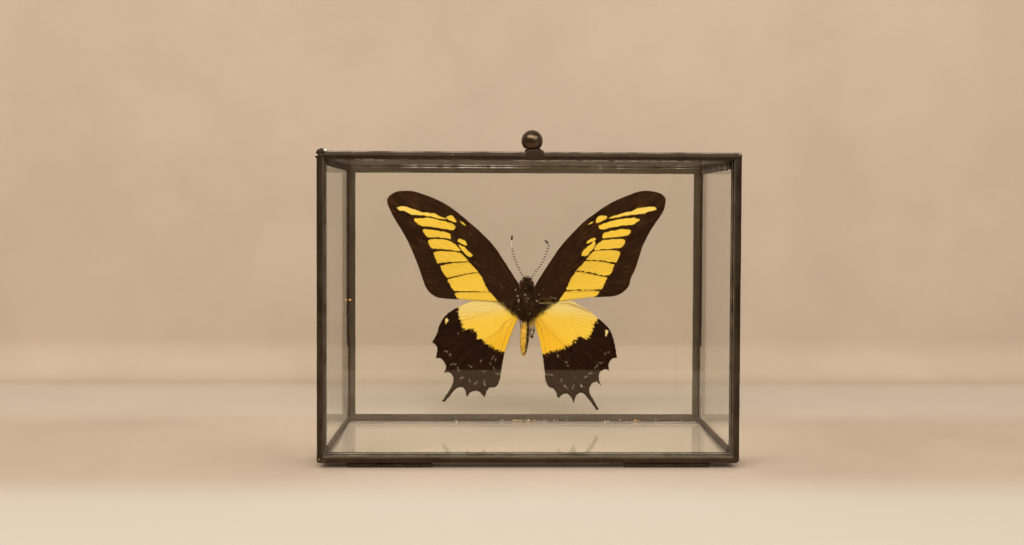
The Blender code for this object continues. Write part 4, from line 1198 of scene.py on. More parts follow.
def add_beads():
    """Small drops of solder and flux that were left on the frame; the brass drops at the lower left,
    the tin drops and the bare one at the top right are partly painted glints.
    """
    drops = (
        ("bead_flux_back", (47.2, 59.2, 3.6), 0.42, FLUX, {}),
        ("bead_flux_side", (-73.7, 59.4, 54.5), 0.45, FLUX, {}),
        ("bead_corner_low_left", (-76.3, -0.05, 1.5), 0.5, METAL, {"brass": 1.0, "worn": 1.0}),
        ("bead_corner_low_left_small", (-74.9, -0.1, 0.9), 0.3, METAL, {"brass": 1.0}),
        ("bead_corner_top_left", (-75.7, 0.5, 113.4), 1.4, METAL, {"dull": 0.5}),
        ("bead_corner_top_left_low", (-77.0, 0.6, 111.8), 0.7, METAL, {"outer": 0.5}),
        ("bead_corner_top_left_glint", (-74.2, 0.0, 114.2), 0.40, TIN_GLINT, {"run": 4.0}),
        ("bead_corner_top_left_edge", (-77.3, 0.0, 112.4), 0.30, TIN_GLINT, {"run": 9.0}),
        ("bead_corner_top_right", (76.6, 0.0, 113.2), 0.28, METAL, {"bare": 0.8}),
    )
    for index, (name, at, radius, finish, looks) in enumerate(drops):
        work = bmesh.new()
        bmesh.ops.create_icosphere(work, subdivisions=4, radius=radius)
        for vertex in work.verts:
            p = vertex.co.copy()
            vertex.co *= 1.0 + 0.25 * rough_field(p, 0.7 * radius, index)
            vertex.co.y *= 0.6
            vertex.co.x *= 1.3
        bmesh.ops.translate(work, verts=work.verts, vec=at)
        mesh = finished(work, name)
        for look in ("run", *LOOKS):
            set_values(mesh, look, [looks.get(look, 0.0)] * len(mesh.vertices))
        mesh.shade_smooth()
        body = "door" if at[1] < 1.0 else "case"
        add_piece(name, mesh, BOX, finish, body)


def add_flux_line():
    """Golden flux and small grains of tin along the foot of the back pane; the tin grains are coloured
    as painted glints.
    """
    rng = np.random.default_rng(31)
    for name, finish, places, low, high in (
        ("flux_grains", GRAINS, [*rng.uniform(-4.9, 4.8, 30), 9.5, 47.9, 46.4], 0.10, 0.24),
        ("tin_glint_grains", TIN_GLINT, [*TIN_GLINT_PLACES], 0.12, 0.26),
    ):
        work = bmesh.new()
        for x in places:
            at = (x + rng.normal(0, 0.3), 59.0 + rng.normal(0, 0.12), 3.35 + rng.uniform(0.0, 0.4))
            made = bmesh.ops.create_icosphere(work, subdivisions=2, radius=rng.uniform(low, high))
            for vertex in made["verts"]:
                vertex.co *= 1.0 + 0.3 * rough_field(vertex.co * 9.0 + Vector(at), 1.0, 2.0)
                vertex.co.x *= 1.3
            bmesh.ops.translate(work, verts=made["verts"], vec=at)
        mesh = finished(work, name)
        set_values(mesh, "run", [30.0 * v.co.x for v in mesh.vertices])
        mesh.shade_smooth()
        add_piece(name, mesh, BOX, finish, "case")


# Wings

def plate_outline(node):
    """The outline of a wing's front face, as (x, z) points in order."""
    work = node_mesh(SPECIMEN, node)
    rim = {}
    for edge in work.edges:
        front = [f for f in edge.link_faces if f.normal.y < -0.9]
        if len(front) == 1:
            a, b = edge.verts
            rim.setdefault(a, []).append(b)
            rim.setdefault(b, []).append(a)
    start = next(iter(rim))
    loop = [start]
    previous, current = None, start
    while True:
        following = next(v for v in rim[current] if v is not previous)
        if following is start:
            break
        loop.append(following)
        previous, current = current, following
    points = [Vector((v.co.x, v.co.z)) for v in loop]
    work.free()
    return points


def smooth_loop(points, spacing, corner=math.radians(34)):
    """The loop resampled through its points, with its sharp corners kept."""
    count = len(points)
    sharp = []
    for i in range(count):
        before = points[i] - points[i - 1]
        after = points[(i + 1) % count] - points[i]
        sharp.append(before.angle(after) > corner)
    loop = []
    for i in range(count):
        a, b = points[i], points[(i + 1) % count]
        before = 2 * a - b if sharp[i] else points[i - 1]
        after = 2 * b - a if sharp[(i + 1) % count] else points[(i + 2) % count]
        steps = max(1, round((b - a).length / spacing))
        for step in range(steps):
            loop.append(catmull(before, a, b, after, step / steps))
    return np.array([(p.x, p.y) for p in loop])


def segment_distance(points, line, closed=False):
    """Distance from each point to a line through the given ones."""
    line = np.asarray(line, dtype=float)
    if closed:
        line = np.vstack([line, line[:1]])
    best = np.full(len(points), 1e9)
    for a, b in zip(line[:-1], line[1:]):
        span = b - a
        share = np.clip(((points - a) @ span) / max(span @ span, 1e-12), 0, 1)
        gap = points - (a + share[:, None] * span)
        best = np.minimum(best, np.hypot(gap[:, 0], gap[:, 1]))
    return best


def inside(points, loop):
    loop = np.asarray(loop, dtype=float)
    hit = np.zeros(len(points), dtype=bool)
    for a, b in zip(loop, np.roll(loop, -1, axis=0)):
        crosses = (a[1] > points[:, 1]) != (b[1] > points[:, 1])
        if a[1] == b[1]:
            continue
        x = a[0] + (points[:, 1] - a[1]) / (b[1] - a[1]) * (b[0] - a[0])
        hit ^= crosses & (points[:, 0] < x)
    return hit


def signed_distance(points, loop):
    """Distance to a closed outline, positive inside it."""
    gap = segment_distance(points, loop, closed=True)
    return np.where(inside(points, loop), gap, -gap)


def eased(value, low, high):
    t = np.clip((value - low) / (high - low), 0, 1)
    return t * t * (3 - 2 * t)


def wing_grid(loop):
    """Points and triangles that fill an outline with an even mesh."""
    low, high = loop.min(axis=0), loop.max(axis=0)
    rows = np.arange(low[1], high[1], WING_SPACING * math.sqrt(3) / 2)
    grid = []
    for index, z in enumerate(rows):
        x = np.arange(low[0] + (index % 2) * WING_SPACING / 2, high[0], WING_SPACING)
        grid.append(np.stack([x, np.full(len(x), z)], axis=1))
    grid = np.vstack(grid)
    grid = grid[signed_distance(grid, loop) > 0.55 * WING_SPACING]
    points = np.vstack([loop, grid])
    made = delaunay_2d_cdt([Vector(p) for p in points], [], [list(range(len(loop)))], 1, 1e-5)
    return np.array([tuple(p) for p in made[0]]), [tuple(f) for f in made[2]]


def drape(points):
    """How far the sheet of wings bends towards the back, the same for all four."""
    x, z = points[:, 0], points[:, 1]
    return (
        0.22 * np.sin(0.13 * x + 0.07 * z) + 0.14 * np.sin(0.31 * z - 0.12 * x + 1.0)
        - 0.25 * np.clip(np.abs(x) / 55, 0, 1) ** 2
    )


def similarity_to(points, source, target):
    """Mirrors and turns points so that the source's spots fall on the target's."""
    a = np.array([np.mean(spot, axis=0) for spot in source]) * (-1, 1)
    b = np.array([np.mean(spot, axis=0) for spot in target])
    ca, cb = a.mean(axis=0), b.mean(axis=0)
    u, _, vt = np.linalg.svd((a - ca).T @ (b - cb))
    turn = u @ vt
    return (np.asarray(points) * (-1, 1) - ca) @ turn + cb


def frayed(loop, amount):
    """The outline with its edge pushed in and out a little."""
    fray = [rough_field((x, z, 0.0), FRAY_SIZE, 3.0) for x, z in loop]
    ahead = np.roll(loop, -1, axis=0) - np.roll(loop, 1, axis=0)
    length = np.hypot(ahead[:, 0], ahead[:, 1])
    normal = np.stack([-ahead[:, 1], ahead[:, 0]], axis=1) / length[:, None]
    return loop + normal * (np.array(fray) * amount)[:, None]


def stroke_glow(points, strokes):
    """How strongly the pale strokes show at each point, with their lines slightly shaken."""
    glow = np.zeros(len(points))
    shaken = points + 0.22 * np.stack([np.sin(3.1 * points[:, 1]), np.sin(3.7 * points[:, 0])], axis=1)
    for x, z, half, angle, strength in strokes:
        centre = np.array((x, z))
        turn = math.radians(angle)
        along = half * np.array((math.cos(turn), math.sin(turn)))
        gap = segment_distance(shaken, [centre - along, centre + along])
        glow = np.maximum(glow, strength * np.exp(-(gap / STROKE_WIDTH) ** 2))
    return glow


def add_wing(node, depth, marks, lines, tone, strokes, root, warm=0, rim=0, margin_spot=None):
    """A wing: an even sheet with raised veins and values for its finish."""
    fray = FRAY_FOREWING if warm else FRAY_HINDWING
    loop = frayed(smooth_loop(plate_outline(node), WING_SPACING), fray)
    points, faces = wing_grid(loop)
    veins, faint_lines = lines
    mark = np.max([signed_distance(points, m) for m in marks], axis=0)
    if margin_spot:
        mark = np.maximum(mark, MARGIN_SPOT_CRISP * signed_distance(points, margin_spot))
    mark = np.minimum(mark, ROOT_OVERLAP - signed_distance(points, ROOT_PATCH))
    vein = np.min([segment_distance(points, v) for v in veins], axis=0)
    faint = np.full(len(points), 9.0)
    for line in faint_lines:
        faint = np.minimum(faint, segment_distance(points, line))
    edge = segment_distance(points, loop, closed=True)
    spread = points - np.array(root)
    reach = np.hypot(spread[:, 0], spread[:, 1])
    fan = np.arctan2(spread[:, 1], np.abs(spread[:, 0]))
    rib = RIB_HEIGHT * np.exp(-(vein / RIB_WIDTH) ** 2) * eased(edge, 0.0, 1.2)
    pleat = PLEAT_HEIGHT * np.sin(fan * PLEATS) * eased(reach, 6, 16) * eased(edge, 0.2, 1.5)
    middle = depth + drape(points)
    front = middle - rib - pleat
    back = middle + WING_SHEET - 0.5 * rib - pleat
    count = len(points)
    verts = np.vstack([
        np.stack([points[:, 0], front, points[:, 1]], axis=1),
        np.stack([points[:, 0], back, points[:, 1]], axis=1),
    ])
    sides = {}
    for face in faces:
        for a, b in zip(face, face[1:] + face[:1]):
            sides[(a, b)] = sides.get((a, b), 0) + 1
    border = [(a, b) for a, b in sides if (b, a) not in sides]
    under = [tuple(count + i for i in reversed(face)) for face in faces]
    rims = [(b, a, a + count, b + count) for a, b in border]
    mesh = mesh_from(node, verts, list(faces) + under + rims)
    kinds = [0] * len(faces) + [1] * len(under) + [1] * len(rims)
    work = bmesh.new()
    work.from_mesh(mesh)
    work.faces.ensure_lookup_table()
    if work.faces[0].normal.y > 0:
        bmesh.ops.reverse_faces(work, faces=work.faces)
    work.to_mesh(mesh)
    work.free()
    values = {
        "mark": mark, "vein": vein, "faint": faint, "edge": edge, "reach": reach, "fan": fan,
        "lunule": stroke_glow(points, strokes), "tone": tone(points),
        "warm": np.full(count, float(warm)),
        "rim": np.full(count, float(rim)),
    }
    for name, value in values.items():
        set_values(mesh, name, np.concatenate([value, value]))
    piece = add_piece(f"{node}_scaled", mesh, SPECIMEN, [WING_FRONT, WING_BACK], "case")
    mesh.polygons.foreach_set("material_index", kinds)
    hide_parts(node)
    return piece


def forewing_tone(points):
    """Paler towards the tip."""
    return 0.55 - 0.25 * eased(points[:, 1], 30, 40)


def hindwing_tone(points):
    """Pale along the top edge and down to the margin, golden lower down towards the abdomen."""
    x = np.abs(points[:, 0])
    top = eased(-points[:, 1] - 0.10 * x + 2.0, 0.0, 10.0)
    inner = eased(-points[:, 1] - 0.80 * x, -4.0, 8.0)
    return (0.02 + 0.44 * top + 0.46 * inner) * (1.0 - eased(x, 31.0, 32.5))


def add_wings():
    right_veins = [similarity_to(vein, SPOTS_LEFT, SPOTS_RIGHT) for vein in FOREWING_VEINS]
    add_wing("forewing_left", 0.0, SPOTS_LEFT, (FOREWING_VEINS, ()), forewing_tone, SPECKS_LEFT,
             (-3.0, 3.0), warm=1)
    add_wing("forewing_right", 0.0, SPOTS_RIGHT, (right_veins, ()), forewing_tone, SPECKS_RIGHT,
             (3.0, 3.0), warm=1)
    add_wing("hindwing_left", HINDWING_Y, (FIELD_LEFT,), (HINDWING_VEINS_LEFT, FAINT_LEFT),
             hindwing_tone, LUNULES_LEFT, (-3.0, -3.0), rim=1, margin_spot=MARGIN_SPOT_LEFT)
    add_wing("hindwing_right", HINDWING_Y, (FIELD_RIGHT,), (HINDWING_VEINS_RIGHT, FAINT_RIGHT),
             hindwing_tone, LUNULES_RIGHT, (3.0, -3.0), margin_spot=MARGIN_SPOT_RIGHT)


# Body

def ellipsoid(work, centre, radii, turn=0.0, detail=4):
    made = bmesh.ops.create_icosphere(work, subdivisions=detail, radius=1.0)
    place = (
        Matrix.Translation(centre) @ Matrix.Rotation(turn, 4, "Y")
        @ Matrix.Diagonal((*radii, 1.0))
    )
    bmesh.ops.transform(work, matrix=place, verts=made["verts"])


def fill_of(p, centre, radii):
    return math.sqrt(sum(((p[i] - centre[i]) / radii[i]) ** 2 for i in range(3)))


def add_body():
    """Head, eyes, thorax and abdomen grown together, with rings on the abdomen."""
    work = bmesh.new()
    ellipsoid(work, *THORAX)
    ellipsoid(work, *ABDOMEN, ABDOMEN_TURN)
    ellipsoid(work, *HEAD)
    for eye in EYES:
        ellipsoid(work, *eye)
    mesh = with_modifiers(finished(work, "body"), [
        ("REMESH", {"mode": "VOXEL", "voxel_size": BODY_VOXEL}),
        ("SMOOTH", {"factor": 0.5, "iterations": 4}),
    ])
    work = bmesh.new()
    work.from_mesh(mesh)
    work.normal_update()
    values = {"belly": [], "stripe": [], "ring": [], "eye": [], "down": []}
    for vertex in work.verts:
        p = vertex.co.copy()
        belly = float(eased(-p.z, *BELLY_START))
        along = -p.z / RING_PITCH
        groove = math.exp(-(((along + 0.5) % 1.0 - 0.5) / 0.10) ** 2) * belly
        eye = max(1.0 if fill_of(p, *e) < 1.08 else 0.0 for e in EYES)
        middle = ABDOMEN[0][0] + (p.z - ABDOMEN[0][2]) * math.tan(ABDOMEN_TURN)
        narrow = math.sqrt(max(1.0 - ((p.z - ABDOMEN[0][2]) / ABDOMEN[1][2]) ** 2, 0.06))
        stripe = float(eased((p.x - middle) / narrow, *STRIPE_START))
        values["belly"].append(belly)
        values["ring"].append(0.35 * groove)
        values["eye"].append(eye)
        values["stripe"].append(stripe * (1.0 - float(eased(p.y, 0.4, 1.4))))
        values["down"].append((-p.z - 6.0) / 16.0)
        lump = 0.10 * rough_field(p, 1.1, 2.0) * (1.0 - eye) - 0.10 * groove
        vertex.co += vertex.normal * lump
    work.to_mesh(mesh)
    work.free()
    for name, value in values.items():
        set_values(mesh, name, value)
    mesh.shade_smooth()
    sources = mesh.copy()
    piece = add_piece("body_form", mesh, SPECIMEN, BODY, "case")
    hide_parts("body")
    return sources


def tube_mesh(path, radii, sides):
    """A round tube with a ring at each point of a path, and how far along each ring is."""
    verts, along = [], []
    length = 0.0
    up = Vector((0, 1, 0))
    for i, point in enumerate(path):
        ahead = path[min(i + 1, len(path) - 1)] - path[max(i - 1, 0)]
        ahead.normalize()
        across = ahead.cross(up).normalized()
        other = across.cross(ahead)
        if i:
            length += (point - path[i - 1]).length
        for side in range(sides):
            angle = 2 * math.pi * side / sides
            verts.append(point + (across * math.cos(angle) + other * math.sin(angle)) * radii[i])
            along.append(length)
    faces = swept_faces(len(path), sides)
    last = (len(path) - 1) * sides
    faces.append(tuple(range(sides))[::-1])
    faces.append(tuple(range(last, last + sides)))
    return verts, faces, along


def add_antennae():
    """Shafts of dark knots with thin pale gaps, ending in dark clubs."""
    sides = 10
    for node, points in ANTENNAE.items():
        path = rounded_path(points, 34)
        lengths = [0.0]
        for a, b in zip(path, path[1:]):
            lengths.append(lengths[-1] + (b - a).length)
        pale_from, pale_to = ANTENNA_PALE[node]
        radii, knots = [], []
        for length in lengths:
            share = length / lengths[-1]
            wave = 0.5 - 0.5 * math.cos(2 * math.pi * length / KNOT_PITCH)
            pale = eased(share, pale_from, pale_from + 0.05) - eased(share, pale_to, pale_to + 0.03)
            club = eased(share, CLUB_START, CLUB_START + 0.07)
            knot = float(max(eased(wave, 0.50, 0.85) * (1.0 - pale), club))
            taper = 1.0 - 0.5 * float(eased(share, 0.96, 1.0))
            radii.append((SHAFT_RADIUS + KNOT_RADIUS * knot) * taper)
            knots += [knot] * sides
        verts, faces, _ = tube_mesh(path, radii, sides)
        mesh = mesh_from(node, verts, faces)
        set_values(mesh, "knot", knots)
        piece = add_piece(f"{node}_ringed", mesh, SPECIMEN, ANTENNA, "case")
        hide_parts(node)


def add_legs():
    """Six folded legs: thicker thigh and shin, then a thin foot, with small spines."""
    verts, faces = [], []
    rng = np.random.default_rng(11)
    for legs in LEGS.values():
        for leg in legs:
            path = rounded_path(leg, 14)
            count = len(path)
            radii = []
            for i in range(count):
                share = i / (count - 1)
                joint = math.exp(-((share - 0.5) / 0.04) ** 2)
                radii.append(LEG_RADIUS - LEG_TAPER * share + LEG_JOINT * joint)
            append_mesh(verts, faces, *tube_mesh(path, radii, 8)[:2])
            for i in range(count // 2, count - 1, 2):
                turn = rng.uniform(0, 2 * math.pi)
                out = Vector((math.cos(turn), math.sin(turn) * 0.6, -0.8)).normalized()
                spine = [path[i], path[i] + out * 0.25, path[i] + out * 0.45]
                append_mesh(verts, faces, *tube_mesh(spine, SPINE_RADII, 4)[:2])
    mesh = mesh_from("legs", verts, faces)
    add_piece("legs_folded", mesh, SPECIMEN, LEG, "case")


def hairs(name, roots, directions, bends, lengths, radius, tints):
    """Many tapering hairs in one mesh, each bending towards its bend vector."""
    shares = (0.0, 0.35, 0.7)
    sides = 3
    verts, faces, tint, tip = [], [], [], []
    for root, direction, bend, length, shade in zip(roots, directions, bends, lengths, tints):
        direction = Vector(direction).normalized()
        bend = Vector(bend)
        across = direction.orthogonal().normalized()
        other = direction.cross(across)
        first = len(verts)
        for share in shares:
            centre = Vector(root) + direction * length * share + bend * length * share * share
            width = radius * (1 - 0.6 * share)
            for side in range(sides):
                angle = 2 * math.pi * side / sides
                verts.append(centre + (across * math.cos(angle) + other * math.sin(angle)) * width)
                tip.append(share)
        verts.append(Vector(root) + direction * length + bend * length)
        tip.append(1.0)
        tint += [shade] * (len(verts) - first)
        faces += swept_faces(len(shares), sides, first)
        low = first + (len(shares) - 1) * sides
        point = len(verts) - 1
        for side in range(sides):
            faces.append((low + side, low + (side + 1) % sides, point))
        faces.append((first + 2, first + 1, first))
    mesh = mesh_from(name, verts, faces)
    set_values(mesh, "tint", tint)
    set_values(mesh, "tip", tip)
    return add_piece(name, mesh, SPECIMEN, HAIR, "case")


def scattered(mesh, count, rng, keep):
    """Random places on a mesh, as (point, normal) pairs where keep(point) is true."""
    mesh.calc_loop_triangles()
    tri = np.zeros(len(mesh.loop_triangles) * 3, dtype=np.int32)
    mesh.loop_triangles.foreach_get("vertices", tri)
    tri = tri.reshape(-1, 3)
    co = np.zeros(len(mesh.vertices) * 3)
    mesh.vertices.foreach_get("co", co)
    co = co.reshape(-1, 3)
    a, b, c = co[tri[:, 0]], co[tri[:, 1]], co[tri[:, 2]]
    across = np.cross(b - a, c - a)
    area = np.linalg.norm(across, axis=1)
    centre = (a + b + c) / 3
    weight = area * keep(centre)
    picks = rng.choice(len(tri), count, p=weight / weight.sum())
    u, v = rng.random(count), rng.random(count)
    flip = u + v > 1
    u[flip], v[flip] = 1 - u[flip], 1 - v[flip]
    roots = a[picks] + u[:, None] * (b - a)[picks] + v[:, None] * (c - a)[picks]
    normals = across[picks] / area[picks][:, None]
    return roots, normals


def add_fur(skin):
    """Fur on the head and thorax, fine hairs on the abdomen, a yellow tuft beside it and the
    bristles of the leg that shows there."""
    rng = np.random.default_rng(5)

    def grow(name, keep, lie, stiff, shortest, longest, radius, tints, spread=0.30):
        count = HAIR_COUNTS[name]
        roots, normals = scattered(skin, count, rng, keep)
        directions = normals * stiff + np.array(lie) + rng.normal(0, spread, (count, 3))
        bends = np.array(lie) * 0.35 + rng.normal(0, 0.12, (count, 3))
        roots = roots - normals * 0.08
        lengths = rng.uniform(shortest, longest, count)
        hairs(f"fur_{name}", roots, directions, bends, lengths, radius, tints(roots))

    def dark(roots):
        count = len(roots)
        tint = rng.uniform(0.0, 0.5, count)
        brown = rng.random(count) < 0.10
        pale = rng.random(count) < 0.02
        return np.where(pale, rng.uniform(0.58, 0.75, count), np.where(brown, 0.56, tint))

    def golden(roots):
        count = len(roots)
        side = roots[:, 0] - ABDOMEN[0][0] - (roots[:, 2] - ABDOMEN[0][2]) * math.tan(ABDOMEN_TURN)
        tint = rng.uniform(0.70, 0.88, count)
        shaded = (side > 0.4) & (roots[:, 1] < 0.8) & (rng.random(count) < 0.75)
        return np.where(shaded, rng.uniform(0.1, 0.5, count), tint)

    grow("thorax", lambda p: (p[:, 2] < 5.2) & (p[:, 2] > -7.4),
         (0, 0, -0.75), 0.7, 0.9, 2.1, 0.07, dark)
    grow("shoulders", lambda p: (np.abs(p[:, 2] - 4.0) < 2.2) & (np.abs(p[:, 0]) > 1.3),
         (0, 0, 0.9), 1.0, 1.0, 2.4, 0.07, dark)
    grow("head", lambda p: (p[:, 2] >= 5.0) & (np.abs(p[:, 0]) < 1.7),
         (0, 0, 0.5), 0.9, 0.5, 1.7, 0.06, dark, spread=0.55)
    grow("abdomen", lambda p: p[:, 2] < -7.0, (0, 0, -1.2), 0.45, 0.35, 0.75, 0.028, golden)

    count = HAIR_COUNTS["tuft"]
    roots = np.stack([
        rng.uniform(0.8, 3.0, count), rng.uniform(-0.9, 0.4, count), rng.uniform(-8.6, -6.2, count),
    ], axis=1)
    directions = np.stack([
        rng.normal(0.18, 0.15, count), rng.normal(-0.05, 0.08, count), np.full(count, -1.0),
    ], axis=1)
    bends = rng.normal(0, 0.12, (count, 3))
    hairs("fur_tuft", roots, directions, bends, rng.uniform(1.2, 3.6, count), 0.045,
          np.where(rng.random(count) < 0.18, 0.3, rng.uniform(0.72, 0.93, count)))

    count = HAIR_COUNTS["dots"]
    turn = rng.uniform(0, 2 * math.pi, count)
    wide = rng.uniform(0.5, 1.1, count)
    x, z = 2.0 + 0.95 * wide * np.cos(turn), -12.9 + 2.1 * wide * np.sin(turn)
    roots = np.stack([x, rng.uniform(-0.3, 0.6, count), z], axis=1)
    hairs("leg_bristles", roots, rng.normal(0, 1, (count, 3)), np.zeros((count, 3)),
          rng.uniform(0.3, 0.55, count), 0.19, rng.uniform(0.0, 0.5, count))


def add_root_fur():
    """Dark hairs that spread over the roots of the wings, and the pale fringe of one of them."""
    rng = np.random.default_rng(17)
    count = HAIR_COUNTS["roots"]
    low, high = np.min(ROOT_PATCH, axis=0) - 1.5, np.max(ROOT_PATCH, axis=0)
    spots = rng.uniform(low, high, (20 * count, 2))
    depth = signed_distance(spots, ROOT_PATCH)
    spots = spots[rng.random(len(spots)) < eased(depth, -1.4, 1.6)]
    spots = spots[spots[:, 1] < 2.2 - 0.12 * np.abs(spots[:, 0])][:count]
    count = len(spots)
    inward = eased(signed_distance(spots, ROOT_PATCH), -0.6, 2.2)
    away = spots / np.maximum(np.hypot(spots[:, 0], spots[:, 1]), 0.1)[:, None]
    roots = np.stack([spots[:, 0], drape(spots) + 0.05, spots[:, 1]], axis=1)
    directions = np.stack([away[:, 0], np.full(count, -0.16), 0.6 * away[:, 1] - 0.5], axis=1)
    directions += rng.normal(0, 0.34, (count, 3))
    bends = rng.normal(0, 0.1, (count, 3)) + (0.0, 0.2, -0.1)
    tints = np.where(rng.random(count) < 0.1, 0.56, rng.uniform(0.0, 0.45, count))
    lengths = rng.uniform(0.35, 0.8, count) + inward * rng.uniform(0.4, 1.2, count)
    hairs("fur_roots", roots, directions, bends, lengths, 0.06, tints)

    roots, directions, lengths = [], [], []
    for a, b in zip(FRINGE_RIGHT, FRINGE_RIGHT[1:]):
        for _ in range(FRINGE_HAIRS):
            share = rng.random()
            x, z = a[0] + (b[0] - a[0]) * share, a[1] + (b[1] - a[1]) * share
            roots.append((x, -0.12 + rng.normal(0, 0.03), z - 0.2 + rng.normal(0, 0.12)))
            directions.append((0.5 + rng.normal(0, 0.15), 0.0, 0.8))
            lengths.append(rng.uniform(0.4, 0.85))
    flat = [(0.0, 0.0, 0.0)] * len(roots)
    hairs("fur_fringe", roots, directions, flat, lengths, 0.07, rng.uniform(0.84, 0.95, len(roots)))


def add_flecks():
    """Pale scales caught in the fur, the two ridges at the right wing's root and the tan scales
    over the joints of the forewings."""
    rng = np.random.default_rng(21)
    places, rows = [], []
    centre, radii = THORAX
    for x, z in FLECKS:
        share = 1 - ((x - centre[0]) / radii[0]) ** 2 - ((z - centre[2]) / radii[2]) ** 2
        y = centre[1] - radii[1] * math.sqrt(max(share, 0.02)) - 1.1
        places.append((x, y - 0.35, z))
        for _ in range(FLECK_HAIRS):
            root = (x + rng.normal(0, 0.12), y - 0.3, z + rng.normal(0, 0.12))
            direction = (rng.normal(0, 1), -0.4, rng.normal(0, 1))
            rows.append((root, direction, rng.uniform(0.2, 0.45), rng.uniform(0.93, 1.0)))
    for _ in range(RIDGE_HAIRS):
        x = rng.uniform(4.6, 10.0)
        z = -0.35 - 0.1 * max(x - 8.6, 0.0) + rng.normal(0, 0.26)
        root = (x, -0.9 + 0.06 * x + rng.normal(0, 0.06), z)
        direction = (1.0, rng.normal(0.05, 0.08), rng.normal(-0.05, 0.12))
        rows.append((root, direction, rng.uniform(0.4, 1.0), rng.uniform(0.84, 0.97)))
    for _ in range(RIDGE_HAIRS):
        x = rng.uniform(4.6, 9.6)
        root = (x, -0.9 + 0.06 * x + rng.normal(0, 0.06), 1.25 + rng.normal(0, 0.22))
        direction = (1.0, rng.normal(0.05, 0.08), rng.normal(0.0, 0.1))
        rows.append((root, direction, rng.uniform(0.5, 1.3), rng.uniform(0.54, 0.58)))
    roots, directions, lengths, tints = zip(*rows)
    hairs("fur_flecks", roots, directions, np.zeros((len(rows), 3)), lengths, 0.045, tints)

    work = bmesh.new()
    for centre, radii in PLATES:
        ellipsoid(work, centre, radii, detail=3)
    first = len(work.verts)
    for place in places:
        ellipsoid(work, place, rng.uniform(0.09, 0.19, 3), detail=2)
    mesh = finished(work, "shoulder_scales")
    set_values(mesh, "white", [float(i >= first) for i in range(len(mesh.vertices))])
    mesh.shade_smooth()
    add_piece("shoulder_scales", mesh, SPECIMEN, PLATE, "case")


# Stage, lights and camera

def add_stage():
    """A pale floor that curves up into a wall."""
    profile = [(FLOOR_FRONT, 0.0), (-0.1, 0.0), (WALL_Y - COVE, 0.0)]
    profile += [(y, z) for y, z in arc((WALL_Y - COVE, COVE), COVE, 270, 360, 10)][1:]
    profile += [(WALL_Y, 0.2), (WALL_Y, WALL_TOP)]
    verts, faces = [], []
    for y, z in profile:
        verts += [(-STAGE_HALF, y, z), (STAGE_HALF, y, z)]
    for i in range(len(profile) - 1):
        faces.append((2 * i, 2 * i + 1, 2 * i + 3, 2 * i + 2))
    mesh = mesh_from("stage_sweep", verts, faces)
    mesh.materials.append(stage_finish())
    sweep = bpy.data.objects.new("stage_sweep", mesh)
    bpy.context.scene.collection.objects.link(sweep)


def add_light(name, place, size, power, colour):
    data = bpy.data.lights.new(name, "AREA")
    data.shape = "RECTANGLE"
    data.size, data.size_y = size
    data.energy = power
    data.color = colour
    light = bpy.data.objects.new(name, data)
    light.location = place
    aim = Vector(LIT_POINT) - Vector(place)
    light.rotation_euler = aim.to_track_quat("-Z", "Y").to_euler()
    bpy.context.scene.collection.objects.link(light)


def add_lights():
    """Two soft lights from the front and a pale room, which looks dark in reflections."""
    world = bpy.data.worlds.new("studio")
    bpy.context.scene.world = world
    world.use_nodes = True
    nodes, links = world.node_tree.nodes, world.node_tree.links
    room = nodes["Background"]
    room.inputs["Color"].default_value = ROOM
    room.inputs["Strength"].default_value = ROOM_STRENGTH
    reflected = nodes.new("ShaderNodeBackground")
    reflected.inputs["Color"].default_value = ROOM_IN_REFLECTIONS
    path = nodes.new("ShaderNodeLightPath")
    glossy = nodes.new("ShaderNodeMath")
    glossy.operation = "GREATER_THAN"
    glossy.inputs[1].default_value = 0.5
    both = nodes.new("ShaderNodeMixShader")
    links.new(path.outputs["Glossy Depth"], glossy.inputs[0])
    links.new(glossy.outputs[0], both.inputs[0])
    links.new(room.outputs[0], both.inputs[1])
    links.new(reflected.outputs[0], both.inputs[2])
    links.new(both.outputs[0], nodes["World Output"].inputs["Surface"])
    for light in LIGHTS:
        add_light(*light)


def add_camera():
    data = bpy.data.cameras.new("camera")
    data.lens = LENS
    data.sensor_width = 36.0
    data.shift_y = CAMERA_SHIFT_Y
    data.clip_start = 0.01
    camera = bpy.data.objects.new("camera", data)
    bpy.context.scene.collection.objects.link(camera)
    rx, ry, rz = (math.radians(a) for a in CAMERA_TURN)
    turn = (
        Matrix.Rotation(-LEAN, 4, "X") @ Matrix.Rotation(rz, 4, "Z") @ Matrix.Rotation(rx, 4, "X")
        @ Matrix.Rotation(ry, 4, "Y") @ Matrix.Rotation(math.pi / 2, 4, "X")
    )
    camera.matrix_world = Matrix.Translation(CAMERA_AT) @ turn
    bpy.context.scene.camera = camera


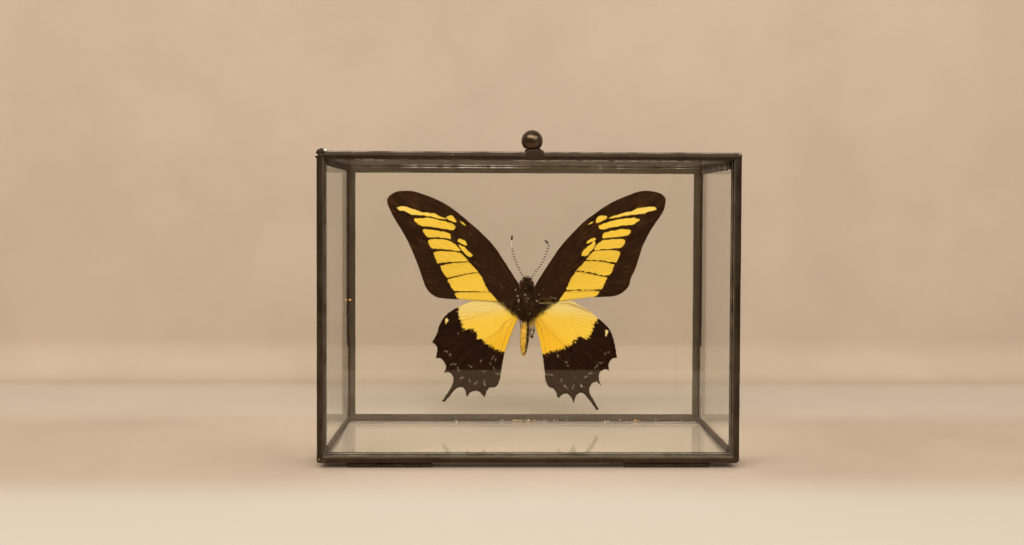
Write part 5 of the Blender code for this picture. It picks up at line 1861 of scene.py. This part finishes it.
METAL = metal_finish()
KNOB = knob_finish()
TIN_GLINT = tin_glint_finish()
CLEAR = glass_finish()
GLUE = glue_finish()
WING_FRONT = wing_finish("wing_scales")
WING_BACK = wing_finish("wing_underside", underside=True)
BODY = body_finish()
HAIR = hair_finish()
ANTENNA = antenna_finish()
LEG = leg_finish()
FLUX = flux_finish("flux_bead", *FLUX_BEAD)
GRAINS = flux_finish("flux_grains", *FLUX_GRAINS)
PLATE = plate_finish()

for pane in ("glass_left", "glass_right", "glass_bottom", "glass_top", "glass_back", "door_glass"):
    NODES[pane].material_slots[0].material = CLEAR
NODES["glue_dab"].material_slots[0].material = GLUE
for side in ("left", "right"):
    NODES[f"hinge_pin_{side}"].material_slots[0].material = METAL

frame_ring(
    "door_frame_soldered", ((door_section(), 1.2),),
    ("door_rail_bottom", "door_rail_top", "door_stile_left", "door_stile_right"), "door", 1.7,
)
frame_ring(
    "case_frame_soldered", ((case_front_section(), 1.2),),
    ("case_rail_bottom", "case_rail_top", "case_post_left", "case_post_right"), "case", 4.1,
    blob=0.08,
)
frame_ring(
    "back_frame_soldered", ((back_section(), 1.2), (fillet_section(), 0.5)),
    ("back_rail_bottom", "back_rail_top", "back_post_left", "back_post_right"), "case", 8.3,
    height=0.10,
)
for number, corner in enumerate(SEAMS):
    depth_edge(corner, 2.3 * number)
softened("knob_ball", "knob", "door", KNOB, 0.16, 6, 0.03, 1.0)
softened("knob_saddle_solder", "knob_saddle", "door", METAL, 0.14, 60, 0.06, 6.0,
         (("dull", 0.8), ("outer", 0.45)))
for side in ("left", "right"):
    hinge_part(f"hinge_leaf_{side}", "case")
    for end in ("outer", "inner"):
        hinge_part(f"hinge_knuckle_{side}_{end}", "door")
add_top_glint_beads()
add_beads()
add_flux_line()

add_wings()
skin = add_body()
add_antennae()
add_legs()
add_fur(skin)
add_root_fur()
add_flecks()
bpy.data.meshes.remove(skin)

add_stage()
add_lights()
add_camera()
bpy.context.scene.view_settings.view_transform = "Standard"
